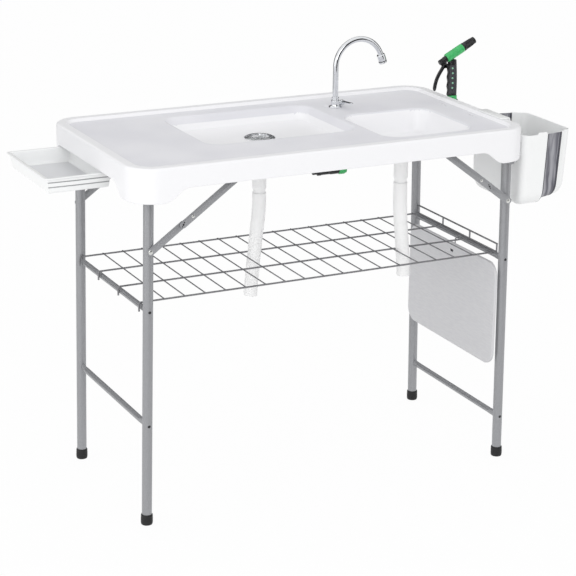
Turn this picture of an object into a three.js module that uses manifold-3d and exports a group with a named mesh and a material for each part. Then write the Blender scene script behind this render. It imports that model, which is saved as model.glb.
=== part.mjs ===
// Folding fish cleaning table: a moulded top with a rinsing basin and a sink, two folding leg
// frames, a lift-off wire shelf, faucet, drain hoses, hand sprayer, slide-on tray, folding
// bucket and a cutting board.
// Millimetres, +Z up, +X to the right end, +Y to the back. Origin on the floor, under the
// middle of the whole assembly.

import * as THREE from 'three';
import { mergeVertices } from 'three/addons/utils/BufferGeometryUtils.js';
import Module from 'manifold-3d';

const wasm = await Module();
wasm.setup();

// Fits shared by all pieces
const gap = 0.3;          // between pieces that touch
const overrun = 6;        // how far a cut runs past the face it cuts
const weld = 1e-4;        // distance at which mesh corners are one corner
const front = -1;
const back = 1;
const sides = [front, back];
const sideName = (side) => (side === front ? 'front' : 'back');

// Table top
const top = {
  length: 1170, width: 626, height: 993, cornerRadius: 75, edgeRound: 7,
  rimWidth: 34, rimSlope: 6, rimHeight: 8, deckThickness: 20, wall: 10,
  middleDrop: 57, cornerDrop: 92,
  blockRun: 84, curveRun: 68,
  trayBlockRun: 62, trayCurveRun: 10,
};
top.endX = top.length / 2;
top.sideY = top.width / 2;
top.deck = top.height - top.rimHeight;
top.underside = top.deck - top.deckThickness;
top.middleEdge = top.height - top.middleDrop;
top.cornerEdge = top.height - top.cornerDrop;

// The basin keeps its distance from the back edge, and the sink from the front edge and the basin
const basin = {
  x: -63, backInset: 256, length: 454, width: 337, depth: 38, cornerRadius: 48, draft: 16, wall: 5,
  drainOffset: 0, neckDrop: 203,
};
const sink = {
  divider: 18, frontInset: 226, length: 278, width: 290, depth: 64, cornerRadius: 52, draft: 18, wall: 5,
  drainOffset: -14, neckDrop: 178,
};
basin.y = top.sideY - basin.backInset;
sink.x = basin.x + basin.length / 2 + sink.divider + sink.length / 2;
sink.y = sink.frontInset - top.sideY;
[basin, sink].forEach((bowl) => {
  bowl.drainX = bowl.x + bowl.drainOffset;
  bowl.drainY = bowl.y;
  bowl.neckLow = top.height - bowl.neckDrop;
});
const knifeSlot = { endInset: 50, places: [70, -81], length: 38, width: 5.5 };
knifeSlot.x = top.endX - knifeSlot.endInset;

// Strainers and drain hoses
const strainer = {
  holeRadius: 34.6, barrelRadius: 34, barrelWall: 3, barrelDepth: 24,
  flangeRadius: 44, flangeHeight: 2.5, basketRadius: 28, basketRim: 37, basketDepth: 15,
  basketWall: 1.5, holeCount: 8, holeSize: 2.4, holeCircle: 18, knobRadius: 5, knobHeight: 12,
};
const tail = {
  nutRadius: 42, nutHeight: 12, cupRadius: 37, cupHeight: 24, coneHeight: 14,
  neckRadius: 19.8, pinchRadius: 16.6, pinchHeight: 8, wall: 2.5,
};
const hose = { radius: 19.4, ribDepth: 1.1, wall: 2, ribPitch: 9, sides: 8 };

// Faucet
const faucet = {
  x: 226, y: 159, flangeRadius: 19, flangeHeight: 3, bodyRadius: 12, bodyHeight: 17,
  pipeRadius: 8, archRadius: 74.5, archRise: 108.5, archEnd: 160, collarRadius: 10.5,
  collarHeight: 9, aeratorRadius: 12, aeratorLength: 27, shankRadius: 9.5, shankDrop: 68,
  nutRadius: 19, nutHeight: 12,
};
faucet.archCentre = top.height + faucet.archRise;
faucet.shankEnd = top.height - faucet.shankDrop;
const lever = { hubRadius: 8, hubWidth: 11, reach: 62, rootWidth: 9, tipWidth: 12, thickness: 5, rise: 5 };
const inlet = {
  stemRadius: 9, armDrop: 196, armRadius: 10, armLeft: 54, armRight: 14, barbRadius: 6.5,
  barbLength: 16, connectorRadius: 12.5, connectorLength: 25,
};
inlet.armHeight = top.height - inlet.armDrop;

// Hand sprayer, drawn in the plane y = sprayer.y
const sprayer = {
  standOff: 21, y: 142, collarLowDrop: 36, collarHighDrop: 2, collarRadius: 14.5, nippleRadius: 9,
  nippleDrop: 16, gripRise: 101, gripDepth: 13.5, gripHalfWidth: 11.5, gripWave: 1.6, waves: 4,
  barrelRise: 108, barrelBack: -24, barrelLength: 61, barrelTilt: 27.6, barrelRadius: 13,
  nozzleLength: 44, nozzleRoot: 12.6, nozzleTip: 10.2,
  valveLength: 17, valveRadius: 9, knobRadius: 8, knobLength: 9,
  triggerPivotX: -31, triggerPivotRise: 86, bossRadius: 5, bossWidth: 9, pinRadius: 2.4,
  earThickness: 3, triggerFootX: -58, triggerFootRise: 15, triggerThickness: 5.5, triggerBow: 7,
};
sprayer.x = top.endX + sprayer.standOff;
sprayer.collarLow = top.height - sprayer.collarLowDrop;
sprayer.collarHigh = top.height - sprayer.collarHighDrop;
sprayer.gripHigh = top.height + sprayer.gripRise;
sprayer.barrelStart = top.height + sprayer.barrelRise;
sprayer.triggerPivotZ = top.height + sprayer.triggerPivotRise;
sprayer.triggerFootZ = top.height + sprayer.triggerFootRise;
const holder = {
  wall: 3.2, height: 24, ledge: 3, plateWidth: 34, plateHeight: 36, plateThickness: 4, lowDrop: 42,
};
holder.lowEdge = top.height - holder.lowDrop;

// Slide-on tray at the left end and its guides
const tray = {
  overhang: 150, tuck: 40, width: 316, backInset: 75, rimDrop: 61, height: 42, rim: 8,
  rimThickness: 3, wall: 2.4, cornerRadius: 8, draft: 5, ridgeDrops: [12, 25], ridgeHeight: 6,
};
tray.left = -top.endX - tray.overhang;
tray.right = tray.tuck - top.endX;
tray.backY = top.sideY - tray.backInset;
tray.frontY = tray.backY - tray.width;
tray.rimTop = top.height - tray.rimDrop;
const guide = { thickness: 2.5, flange: 18, startInset: 18, endInset: 45 };
guide.start = guide.startInset - top.endX;
guide.end = guide.endInset - top.endX;

// Folding bucket at the right end
const bucket = {
  y: -137, gapToTable: 5, rimDrop: 33, depth: 207, innerLength: 76, bandLength: 53,
  outerLength: 41, innerHalf: 140, joinHalf: 138, bandHalf: 129, outerHalf: 117,
  bandRise: 13, cornerRadius: 44, wall: 2.4, bandWall: 1.8, planRound: 22, taper: 13,
  clipWidth: 124, clipThickness: 3, clipReach: 26, clipDrop: 34,
};
bucket.rim = top.height - bucket.rimDrop;
bucket.bottom = bucket.rim - bucket.depth;
bucket.startX = top.endX + bucket.gapToTable;

// Leg frames. The pivot places the hinge under the top, lowerHeight is the lower crossbar's height
// over the floor, and spread is how far the feet stand outside the hinge.
const leg = {
  tubeRadius: 13.5, tubeWall: 1.3, sideInset: 68, spread: 15.5, topRun: 13,
  pivotRadius: 9, pivotWall: 1.6, capRadius: 16.4, capHeight: 30, capFloor: 4.3,
};
leg.halfTrack = top.sideY - leg.sideInset;
const frames = {
  left: {
    dir: -1, pivotInset: 65, pivotDrop: 68, upper: 326, lowerHeight: 283,
    braceOnLeg: 163, braceX: 240, braceDrop: 58,
  },
  right: {
    dir: 1, pivotInset: 33, pivotDrop: 98, upper: 292, lowerHeight: 125,
    braceOnLeg: 119, braceX: 210, braceDrop: 58,
  },
};
Object.values(frames).forEach((frame) => {
  frame.pivotX = frame.dir * (top.endX - frame.pivotInset);
  frame.pivotZ = top.height - frame.pivotDrop;
  frame.lower = frame.pivotZ - frame.lowerHeight;
  frame.braceZ = top.height - frame.braceDrop;
});
const crossbar = { upperRadius: 7.6, lowerRadius: 8.2, wall: 1.2 };
const brace = {
  width: 20, thickness: 2, pinRadius: 4, holeRadius: 4.35, standOff: 15.3, step: 3.5,
  headRadius: 6, headHeight: 0.9,
};
brace.lowerPlane = leg.halfTrack + brace.standOff;
brace.upperPlane = brace.lowerPlane + brace.step;
const sideRail = {
  standOff: 4.2, thickness: 2.5, flange: 22, depth: 38, earRadius: 13,
  startInset: 45, endInset: 21, flangeEndInset: 45,
};
sideRail.plane = brace.upperPlane + sideRail.standOff;
sideRail.startX = sideRail.startInset - top.endX;
sideRail.endX = top.endX - sideRail.endInset;
sideRail.flangeEndX = top.endX - sideRail.flangeEndInset;

// Wire shelf
const shelf = {
  wire: 2.5, crossWire: 1.8, frontInset: 35, backInset: 20, longWires: 4, firstInset: 119,
  lastInset: 51.4, crossWires: 18, endInset: 37, hookDrop: 24, railHeight: 24, railInset: 29,
};
shelf.frontY = shelf.frontInset - leg.halfTrack;
shelf.backY = leg.halfTrack - shelf.backInset;
shelf.startX = shelf.firstInset - top.endX;
shelf.pitch = (top.endX - shelf.lastInset - shelf.startX) / (shelf.crossWires - 1);
shelf.endX = top.endX - shelf.endInset;
shelf.railX = top.endX - shelf.railInset;

// Cutting board, hung under the right upper crossbar
const board = {
  endInset: 53, thickness: 9, frontReach: 9, backInset: 23, topDrop: 13, height: 305,
  cornerRadius: 40, holeY: -18, holeDrop: 20, holeRadius: 9,
};
board.x = top.endX - board.endInset;
board.frontY = -leg.halfTrack - board.frontReach;
board.backY = leg.halfTrack - board.backInset;
board.top = frames.right.pivotZ - frames.right.upper - board.topDrop;
board.bottom = board.top - board.height;
const boardHook = { wire: 1.8, tipDrop: 26 };

// The assembly stands with its middle over the origin
const reachLeft = tray.left;
const reachRight = bucket.startX + bucket.innerLength + bucket.bandLength + bucket.outerLength;
const middleX = (reachLeft + reachRight) / 2;

// Finishes
function finish(color, roughness, metalness = 0) {
  return new THREE.MeshStandardMaterial({ color, roughness, metalness });
}
const finishes = {
  top: finish('#ececef', 0.5),
  white: finish('#f0f1f2', 0.45),
  steel: finish('#a6a7aa', 0.45, 0.6),
  wire: finish('#8f8f90', 0.4, 0.8),
  chrome: finish('#d8dadc', 0.12, 1),
  black: finish('#26272b', 0.5),
  foot: finish('#121214', 0.7),
  green: finish('#3fb566', 0.45),
  band: finish('#76767f', 0.6),
  board: finish('#d2d3d6', 0.55),
  hose: finish('#eeeeee', 0.55),
};

// Mesh and solid helpers
function toSolid(geometry) {
  const bare = geometry.clone();
  bare.deleteAttribute('normal');
  bare.deleteAttribute('uv');
  const merged = mergeVertices(bare, weld);
  const vertProperties = new Float32Array(merged.attributes.position.array);
  const triVerts = new Uint32Array(merged.index.array);
  return new wasm.Manifold(new wasm.Mesh({ numProp: 3, vertProperties, triVerts }));
}

function toGeometry(solid) {
  const mesh = solid.getMesh();
  const geometry = new THREE.BufferGeometry();
  geometry.setAttribute('position', new THREE.BufferAttribute(new Float32Array(mesh.vertProperties), 3));
  geometry.setIndex(new THREE.BufferAttribute(new Uint32Array(mesh.triVerts), 1));
  geometry.computeVertexNormals();
  return geometry;
}

const group = new THREE.Group();
group.position.x = -middleX;

function add(name, solid, material) {
  const mesh = new THREE.Mesh(toGeometry(solid), material);
  mesh.name = name;
  group.add(mesh);
}

const point = (x, y, z) => new THREE.Vector3(x, y, z);

function joinAll(solids) {
  return solids.reduce((whole, piece) => whole.add(piece));
}

function box(x0, x1, y0, y1, z0, z1) {
  const geometry = new THREE.BoxGeometry(x1 - x0, y1 - y0, z1 - z0);
  geometry.translate((x0 + x1) / 2, (y0 + y1) / 2, (z0 + z1) / 2);
  return toSolid(geometry);
}

// A closed body through rings of points, all rings with the same count, convex at both ends
function loft(rings) {
  const count = rings[0].length;
  const positions = rings.flat().flatMap((p) => [p.x, p.y, p.z]);
  const centreOf = (ring) => ring.reduce((sum, p) => sum.add(p), point(0, 0, 0)).divideScalar(count);
  const first = centreOf(rings[0]);
  const last = centreOf(rings[rings.length - 1]);
  positions.push(first.x, first.y, first.z, last.x, last.y, last.z);
  const firstIndex = rings.length * count;
  const index = [];
  for (let ring = 0; ring < rings.length - 1; ring += 1) {
    for (let k = 0; k < count; k += 1) {
      const a = ring * count + k;
      const b = ring * count + (k + 1) % count;
      index.push(a, b, b + count, a, b + count, a + count);
    }
  }
  const tailRing = (rings.length - 1) * count;
  for (let k = 0; k < count; k += 1) {
    const next = (k + 1) % count;
    index.push(firstIndex, next, k, firstIndex + 1, tailRing + k, tailRing + next);
  }
  const corner = (i) => point(positions[3 * i], positions[3 * i + 1], positions[3 * i + 2]);
  let volume = 0;
  for (let t = 0; t < index.length; t += 3) {
    volume += corner(index[t]).dot(corner(index[t + 1]).cross(corner(index[t + 2])));
  }
  if (volume < 0) index.reverse();
  const geometry = new THREE.BufferGeometry();
  geometry.setAttribute('position', new THREE.Float32BufferAttribute(positions, 3));
  geometry.setIndex(index);
  return toSolid(geometry);
}

// Corners of a rounded rectangle as [a, b] pairs
function roundedOutline(a, b, halfA, halfB, radius, steps = 5) {
  const pairs = [];
  const quarters = [[1, 1], [-1, 1], [-1, -1], [1, -1]];
  quarters.forEach(([signA, signB], quarter) => {
    for (let k = 0; k <= steps; k += 1) {
      const angle = (quarter + k / steps) * Math.PI / 2;
      pairs.push([
        a + signA * (halfA - radius) + radius * Math.cos(angle),
        b + signB * (halfB - radius) + radius * Math.sin(angle),
      ]);
    }
  });
  return pairs;
}

function plateRing(x, y, length, width, radius, z, steps) {
  return roundedOutline(x, y, length / 2, width / 2, radius, steps).map(([a, b]) => point(a, b, z));
}

// A rounded plate whose outline shrinks by an inset at each named height
function plate(x, y, length, width, radius, levels, steps) {
  return loft(levels.map(([z, inset]) => plateRing(
    x, y, length - 2 * inset, width - 2 * inset, Math.max(radius - inset, gap), z, steps,
  )));
}

// A flat outline pushed along X or Y. Pairs are [y, z] along X and [x, z] along Y.
function prism(pairs, axis, start, end) {
  const shape = new THREE.Shape(pairs.map(([a, b]) => new THREE.Vector2(a, b)));
  const geometry = new THREE.ExtrudeGeometry(shape, { depth: end - start, bevelEnabled: false });
  const matrix = new THREE.Matrix4();
  if (axis === 'x') {
    matrix.makeBasis(point(0, 1, 0), point(0, 0, 1), point(1, 0, 0)).setPosition(start, 0, 0);
  } else {
    matrix.makeBasis(point(1, 0, 0), point(0, 0, 1), point(0, -1, 0)).setPosition(0, end, 0);
  }
  geometry.applyMatrix4(matrix);
  return toSolid(geometry);
}

// A round bar along a path, with one radius or one for each point
function sweep(points, radius, count = 12, flatten = 1) {
  const radii = Array.isArray(radius) ? radius : points.map(() => radius);
  const tangents = points.map((p, i) => {
    const before = points[Math.max(i - 1, 0)];
    const after = points[Math.min(i + 1, points.length - 1)];
    return after.clone().sub(before).normalize();
  });
  let across = point(0, 1, 0);
  if (Math.abs(tangents[0].y) > Math.SQRT1_2) across = point(1, 0, 0);
  const rings = points.map((p, i) => {
    const tangent = tangents[i];
    across = across.clone().addScaledVector(tangent, -across.dot(tangent)).normalize();
    const other = tangent.clone().cross(across);
    const ring = [];
    for (let k = 0; k < count; k += 1) {
      const angle = 2 * Math.PI * (k + 1 / 2) / count;
      ring.push(p.clone()
        .addScaledVector(across, radii[i] * Math.cos(angle))
        .addScaledVector(other, flatten * radii[i] * Math.sin(angle)));
    }
    return ring;
  });
  return loft(rings);
}

function rod(from, to, radius, count = 12) {
  return sweep([from, to], radius, count);
}

function tube(from, to, radius, wall, count = 12) {
  const along = to.clone().sub(from).normalize().multiplyScalar(overrun);
  return rod(from, to, radius, count).subtract(
    rod(from.clone().sub(along), to.clone().add(along), radius - wall, count),
  );
}

// A turned body about the vertical through x, y. Profile pairs are [radius, height].
function turned(x, y, z, profile, segments = 16) {
  const outline = profile.map(([r, h]) => new THREE.Vector2(r, h));
  const geometry = new THREE.LatheGeometry(outline, segments);
  geometry.rotateX(Math.PI / 2);
  geometry.translate(x, y, z);
  let solid = toSolid(geometry);
  if (solid.volume() < 0) {
    geometry.index.array.reverse();
    solid = toSolid(geometry);
  }
  return solid;
}

const closedProfile = (pairs) => [...pairs, pairs[0]];

// Table top: a deck with a raised rim, a skirt with deeper corner blocks, and an opening for each bowl
function skirtNotch(low, high, starts, ends) {
  const steps = 8;
  const ease = (share) => (1 - Math.cos(Math.PI * share)) / 2;
  const pairs = [[starts.edge, low - overrun]];
  for (let k = 0; k <= steps; k += 1) {
    pairs.push([starts.edge + starts.run * k / steps, low + (high - low) * ease(k / steps)]);
  }
  for (let k = steps; k >= 0; k -= 1) {
    pairs.push([ends.edge - ends.run * k / steps, low + (high - low) * ease(k / steps)]);
  }
  pairs.push([ends.edge, low - overrun]);
  return pairs;
}

function bowlBody(bowl) {
  return plate(bowl.x, bowl.y, bowl.length + 2 * bowl.wall, bowl.width + 2 * bowl.wall,
    bowl.cornerRadius + bowl.wall, [[top.deck - bowl.depth - bowl.wall, bowl.draft], [top.deck, 0]]);
}

function bowlCut(bowl) {
  const floor = top.deck - bowl.depth;
  const lead = bowl.draft / 2;
  return plate(bowl.x, bowl.y, bowl.length, bowl.width, bowl.cornerRadius,
    [[floor, bowl.draft + lead], [floor + lead, bowl.draft], [top.deck, 0], [top.deck + overrun, 0]]);
}

function tableTop() {
  const { length, width, cornerRadius, edgeRound } = top;
  let solid = plate(0, 0, length, width, cornerRadius, [
    [top.cornerEdge, 0], [top.height - edgeRound, 0],
    [top.height - edgeRound / 3, edgeRound / 4], [top.height, edgeRound],
  ], 8);
  solid = solid.subtract(plate(0, 0, length - 2 * top.wall, width - 2 * top.wall,
    cornerRadius - top.wall, [[top.cornerEdge - overrun, 0], [top.underside, 0]], 8));
  solid = solid.subtract(plate(0, 0, length - 2 * top.rimWidth, width - 2 * top.rimWidth,
    cornerRadius - top.rimWidth,
    [[top.deck, 0], [top.height, -top.rimSlope], [top.height + overrun, -top.rimSlope]], 8));
  const along = skirtNotch(top.cornerEdge, top.middleEdge,
    { edge: top.blockRun - top.endX, run: top.curveRun },
    { edge: top.endX - top.blockRun, run: top.curveRun });
  solid = solid.subtract(prism(along, 'y', -top.sideY - overrun, top.sideY + overrun));
  const rightEnd = skirtNotch(top.cornerEdge, top.middleEdge,
    { edge: top.blockRun - top.sideY, run: top.curveRun },
    { edge: top.sideY - top.blockRun, run: top.curveRun });
  solid = solid.subtract(prism(rightEnd, 'x', 0, top.endX + overrun));
  const leftEnd = skirtNotch(top.cornerEdge, top.middleEdge,
    { edge: top.blockRun - top.sideY, run: top.curveRun },
    { edge: top.sideY - top.trayBlockRun, run: top.trayCurveRun });
  solid = solid.subtract(prism(leftEnd, 'x', -top.endX - overrun, 0));
  [basin, sink].forEach((bowl) => {
    const around = bowl.wall + gap;
    solid = solid.subtract(plate(bowl.x, bowl.y, bowl.length + 2 * around, bowl.width + 2 * around,
      bowl.cornerRadius + around, [[top.underside - overrun, 0], [top.deck + overrun, 0]]));
  });
  knifeSlot.places.forEach((y) => {
    solid = solid.subtract(plate(knifeSlot.x, y, knifeSlot.width, knifeSlot.length, knifeSlot.width / 2,
      [[top.underside - overrun, 0], [top.deck + overrun, 0]], 3));
  });
  solid = solid.subtract(rod(point(faucet.x, faucet.y, top.underside - overrun),
    point(faucet.x, faucet.y, top.deck + overrun), faucet.shankRadius + gap, 20));
  add('table_top', solid, finishes.top);
}

// The moulded bowls fill the openings of the deck, each with a hole for its strainer
function bowlPiece(bowl, name) {
  const floor = top.deck - bowl.depth;
  const hole = rod(point(bowl.drainX, bowl.drainY, floor - bowl.wall - overrun),
    point(bowl.drainX, bowl.drainY, floor + overrun), strainer.holeRadius, 20);
  add(`${name}_bowl`, bowlBody(bowl).subtract(bowlCut(bowl)).subtract(hole), finishes.top);
}

// Strainer in each bowl: a flange with its barrel, a lift-out basket, and the nut with its tailpiece
function drainParts(bowl, name) {
  const floor = top.deck - bowl.depth;
  const { barrelRadius, barrelWall, barrelDepth, flangeRadius, flangeHeight } = strainer;
  const bore = barrelRadius - barrelWall;
  add(`strainer_flange_${name}`, turned(bowl.drainX, bowl.drainY, floor, closedProfile([
    [bore, -barrelDepth], [barrelRadius, -barrelDepth], [barrelRadius, gap], [flangeRadius, gap],
    [flangeRadius - flangeHeight, flangeHeight], [bore, flangeHeight],
  ])), finishes.chrome);

  const low = flangeHeight + gap;
  const { basketRadius, basketRim, basketDepth, basketWall, knobRadius, knobHeight } = strainer;
  const cupBottom = low - basketDepth;
  let basket = turned(bowl.drainX, bowl.drainY, floor, [
    [0, cupBottom], [basketRadius - basketWall, cupBottom], [basketRadius, low], [basketRim, low],
    [basketRim - basketWall, low + basketWall], [basketRadius - basketWall, low + basketWall],
    [basketRadius - 2 * basketWall, cupBottom + basketWall], [basketWall, cupBottom + basketWall],
    [basketWall, cupBottom + knobHeight], [knobRadius, cupBottom + knobHeight + basketWall],
    [0, cupBottom + knobHeight + 2 * basketWall],
  ]);
  for (let k = 0; k < strainer.holeCount; k += 1) {
    const angle = 2 * Math.PI * k / strainer.holeCount;
    const x = bowl.drainX + strainer.holeCircle * Math.cos(angle);
    const y = bowl.drainY + strainer.holeCircle * Math.sin(angle);
    basket = basket.subtract(rod(point(x, y, floor + cupBottom - overrun),
      point(x, y, floor + cupBottom + overrun), strainer.holeSize, 6));
  }
  add(`strainer_basket_${name}`, basket, finishes.chrome);

  const high = -bowl.wall - gap;
  const neckLow = bowl.neckLow + gap - floor;
  const cupLow = high - tail.cupHeight;
  const coneLow = cupLow - tail.coneHeight;
  const socket = barrelRadius + gap;
  add(`drain_tail_${name}`, turned(bowl.drainX, bowl.drainY, floor, closedProfile([
    [socket, high], [tail.nutRadius, high], [tail.nutRadius, high - tail.nutHeight],
    [tail.cupRadius, high - tail.nutHeight], [tail.cupRadius, cupLow], [tail.neckRadius, coneLow],
    [tail.neckRadius, neckLow + tail.pinchHeight], [tail.pinchRadius, neckLow],
    [tail.pinchRadius - tail.wall, neckLow], [tail.neckRadius - tail.wall, neckLow + tail.pinchHeight],
    [tail.neckRadius - tail.wall, coneLow], [socket, cupLow + tail.wall],
  ])), finishes.white);
}

// Corrugated drain hose along its hand-set route, with its bore
const hoseRoutes = {
  left: [[-63, 57, 790], [-63, 57, 771], [-63.4, 57, 750], [-65.6, 57, 720], [-69.2, 57, 690],
    [-73, 57, 655], [-76.8, 57, 620], [-80.4, 57, 585], [-83.4, 57, 552], [-85.6, 57, 530],
    [-87, 57, 511], [-88.2, 57, 492]],
  right: [[307, -87, 815], [307, -87, 796], [307.2, -87, 776], [308, -87, 750], [309.6, -87, 722],
    [312, -87, 694], [315, -87, 664], [318.2, -87, 634], [321, -87, 604], [323.4, -87, 580],
    [325, -87, 560], [326, -87, 540]],
};

function drainHose(name) {
  const curve = new THREE.CatmullRomCurve3(hoseRoutes[name].map(([x, y, z]) => point(x, y, z)));
  const length = curve.getLength();
  const ribs = Math.round((length - 2 * hose.radius) / hose.ribPitch);
  const shares = [];
  const radii = [];
  const put = (distance, radius) => {
    shares.push(distance / length);
    radii.push(radius);
  };
  put(0, hose.radius);
  for (let k = 0; k < ribs; k += 1) {
    const start = hose.radius + k * hose.ribPitch;
    put(start, hose.radius);
    put(start + hose.ribPitch / 2, hose.radius - hose.ribDepth);
  }
  put(length, hose.radius);
  const outer = sweep(shares.map((share) => curve.getPointAt(share)), radii, hose.sides);
  const boreSteps = Math.round(ribs / 5);
  const borePoints = [];
  for (let k = 0; k <= boreSteps; k += 1) borePoints.push(curve.getPointAt(k / boreSteps));
  borePoints.unshift(borePoints[0].clone().add(point(0, 0, overrun)));
  const last = borePoints[borePoints.length - 1];
  borePoints.push(last.clone().add(curve.getTangentAt(1).multiplyScalar(overrun)));
  const bore = sweep(borePoints, hose.radius - hose.ribDepth - hose.wall, hose.sides);
  add(`drain_hose_${name}`, outer.subtract(bore), finishes.hose);
}

// Faucet: fixed body through the deck, swivel spout, side lever, nut and water inlet below
function faucetParts() {
  const { x, y } = faucet;
  const deck = top.deck + gap;
  const bodyHigh = deck + faucet.flangeHeight + faucet.bodyHeight;
  const leverZ = bodyHigh - lever.hubRadius - gap;
  let body = turned(x, y, 0, [
    [0, faucet.shankEnd], [faucet.shankRadius, faucet.shankEnd], [faucet.shankRadius, deck],
    [faucet.flangeRadius, deck], [faucet.flangeRadius - faucet.flangeHeight / 2, deck + faucet.flangeHeight],
    [faucet.bodyRadius, deck + faucet.flangeHeight], [faucet.bodyRadius, bodyHigh], [0, bodyHigh],
  ]);
  const hubStart = x + faucet.bodyRadius + lever.hubRadius / 2;
  body = body.add(rod(point(x, y, leverZ), point(hubStart, y, leverZ), lever.hubRadius - gap, 20));
  add('faucet_body', body, finishes.chrome);

  const hub = rod(point(hubStart + gap, y, leverZ), point(hubStart + gap + lever.hubWidth, y, leverZ),
    lever.hubRadius, 20);
  const middle = hubStart + gap + lever.hubWidth / 2;
  const handle = loft([[0, lever.rootWidth], [-lever.reach, lever.tipWidth]].map(([dy, width]) => {
    const z = leverZ + lever.hubRadius / 2 - lever.rise * dy / lever.reach;
    return roundedOutline(middle, z, width / 2, lever.thickness / 2, lever.thickness / 2 - gap, 3)
      .map(([a, b]) => point(a, y + dy, b));
  }));
  add('faucet_lever', hub.add(handle), finishes.chrome);

  const path = [point(x, y, bodyHigh + gap)];
  const archX = x + faucet.archRadius;
  const steps = 16;
  for (let k = 0; k <= steps; k += 1) {
    const angle = Math.PI - (faucet.archEnd * Math.PI / 180) * k / steps;
    path.push(point(archX + faucet.archRadius * Math.cos(angle), y,
      faucet.archCentre + faucet.archRadius * Math.sin(angle)));
  }
  const collar = rod(path[0], path[0].clone().add(point(0, 0, faucet.collarHeight)), faucet.collarRadius, 16);
  add('faucet_spout', sweep(path, faucet.pipeRadius, 10).add(collar), finishes.chrome);

  const tip = path[path.length - 1];
  const along = tip.clone().sub(path[path.length - 2]).normalize();
  const tipStart = tip.clone().addScaledVector(along, gap);
  const tipEnd = tip.clone().addScaledVector(along, faucet.aeratorLength);
  const mouth = tipEnd.clone().addScaledVector(along, -faucet.pipeRadius);
  add('faucet_aerator', rod(tipStart, tipEnd, faucet.aeratorRadius, 16).subtract(
    rod(mouth, tipEnd.clone().addScaledVector(along, overrun), faucet.pipeRadius, 12)), finishes.chrome);

  const nutHigh = top.underside - gap;
  const nutLow = nutHigh - faucet.nutHeight;
  const nutBore = rod(point(x, y, nutLow - overrun), point(x, y, nutHigh + overrun),
    faucet.shankRadius + gap, 20);
  add('faucet_nut', rod(point(x, y, nutLow), point(x, y, nutHigh), faucet.nutRadius, 6).subtract(nutBore),
    finishes.white);

  const armZ = inlet.armHeight;
  const armStart = point(x - inlet.armLeft, y, armZ);
  const armEnd = point(x + inlet.armRight, y, armZ);
  add('water_inlet', joinAll([
    rod(point(x, y, armZ), point(x, y, faucet.shankEnd - gap), inlet.stemRadius),
    rod(armStart, armEnd, inlet.armRadius),
    rod(armStart.clone().add(point(-inlet.barbLength, 0, 0)), armStart.clone().add(point(gap, 0, 0)),
      inlet.barbRadius),
  ]), finishes.black);
  add('quick_connector', rod(armEnd.clone().add(point(gap, 0, 0)),
    armEnd.clone().add(point(inlet.connectorLength, 0, 0)), inlet.connectorRadius), finishes.green);
}

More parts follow.
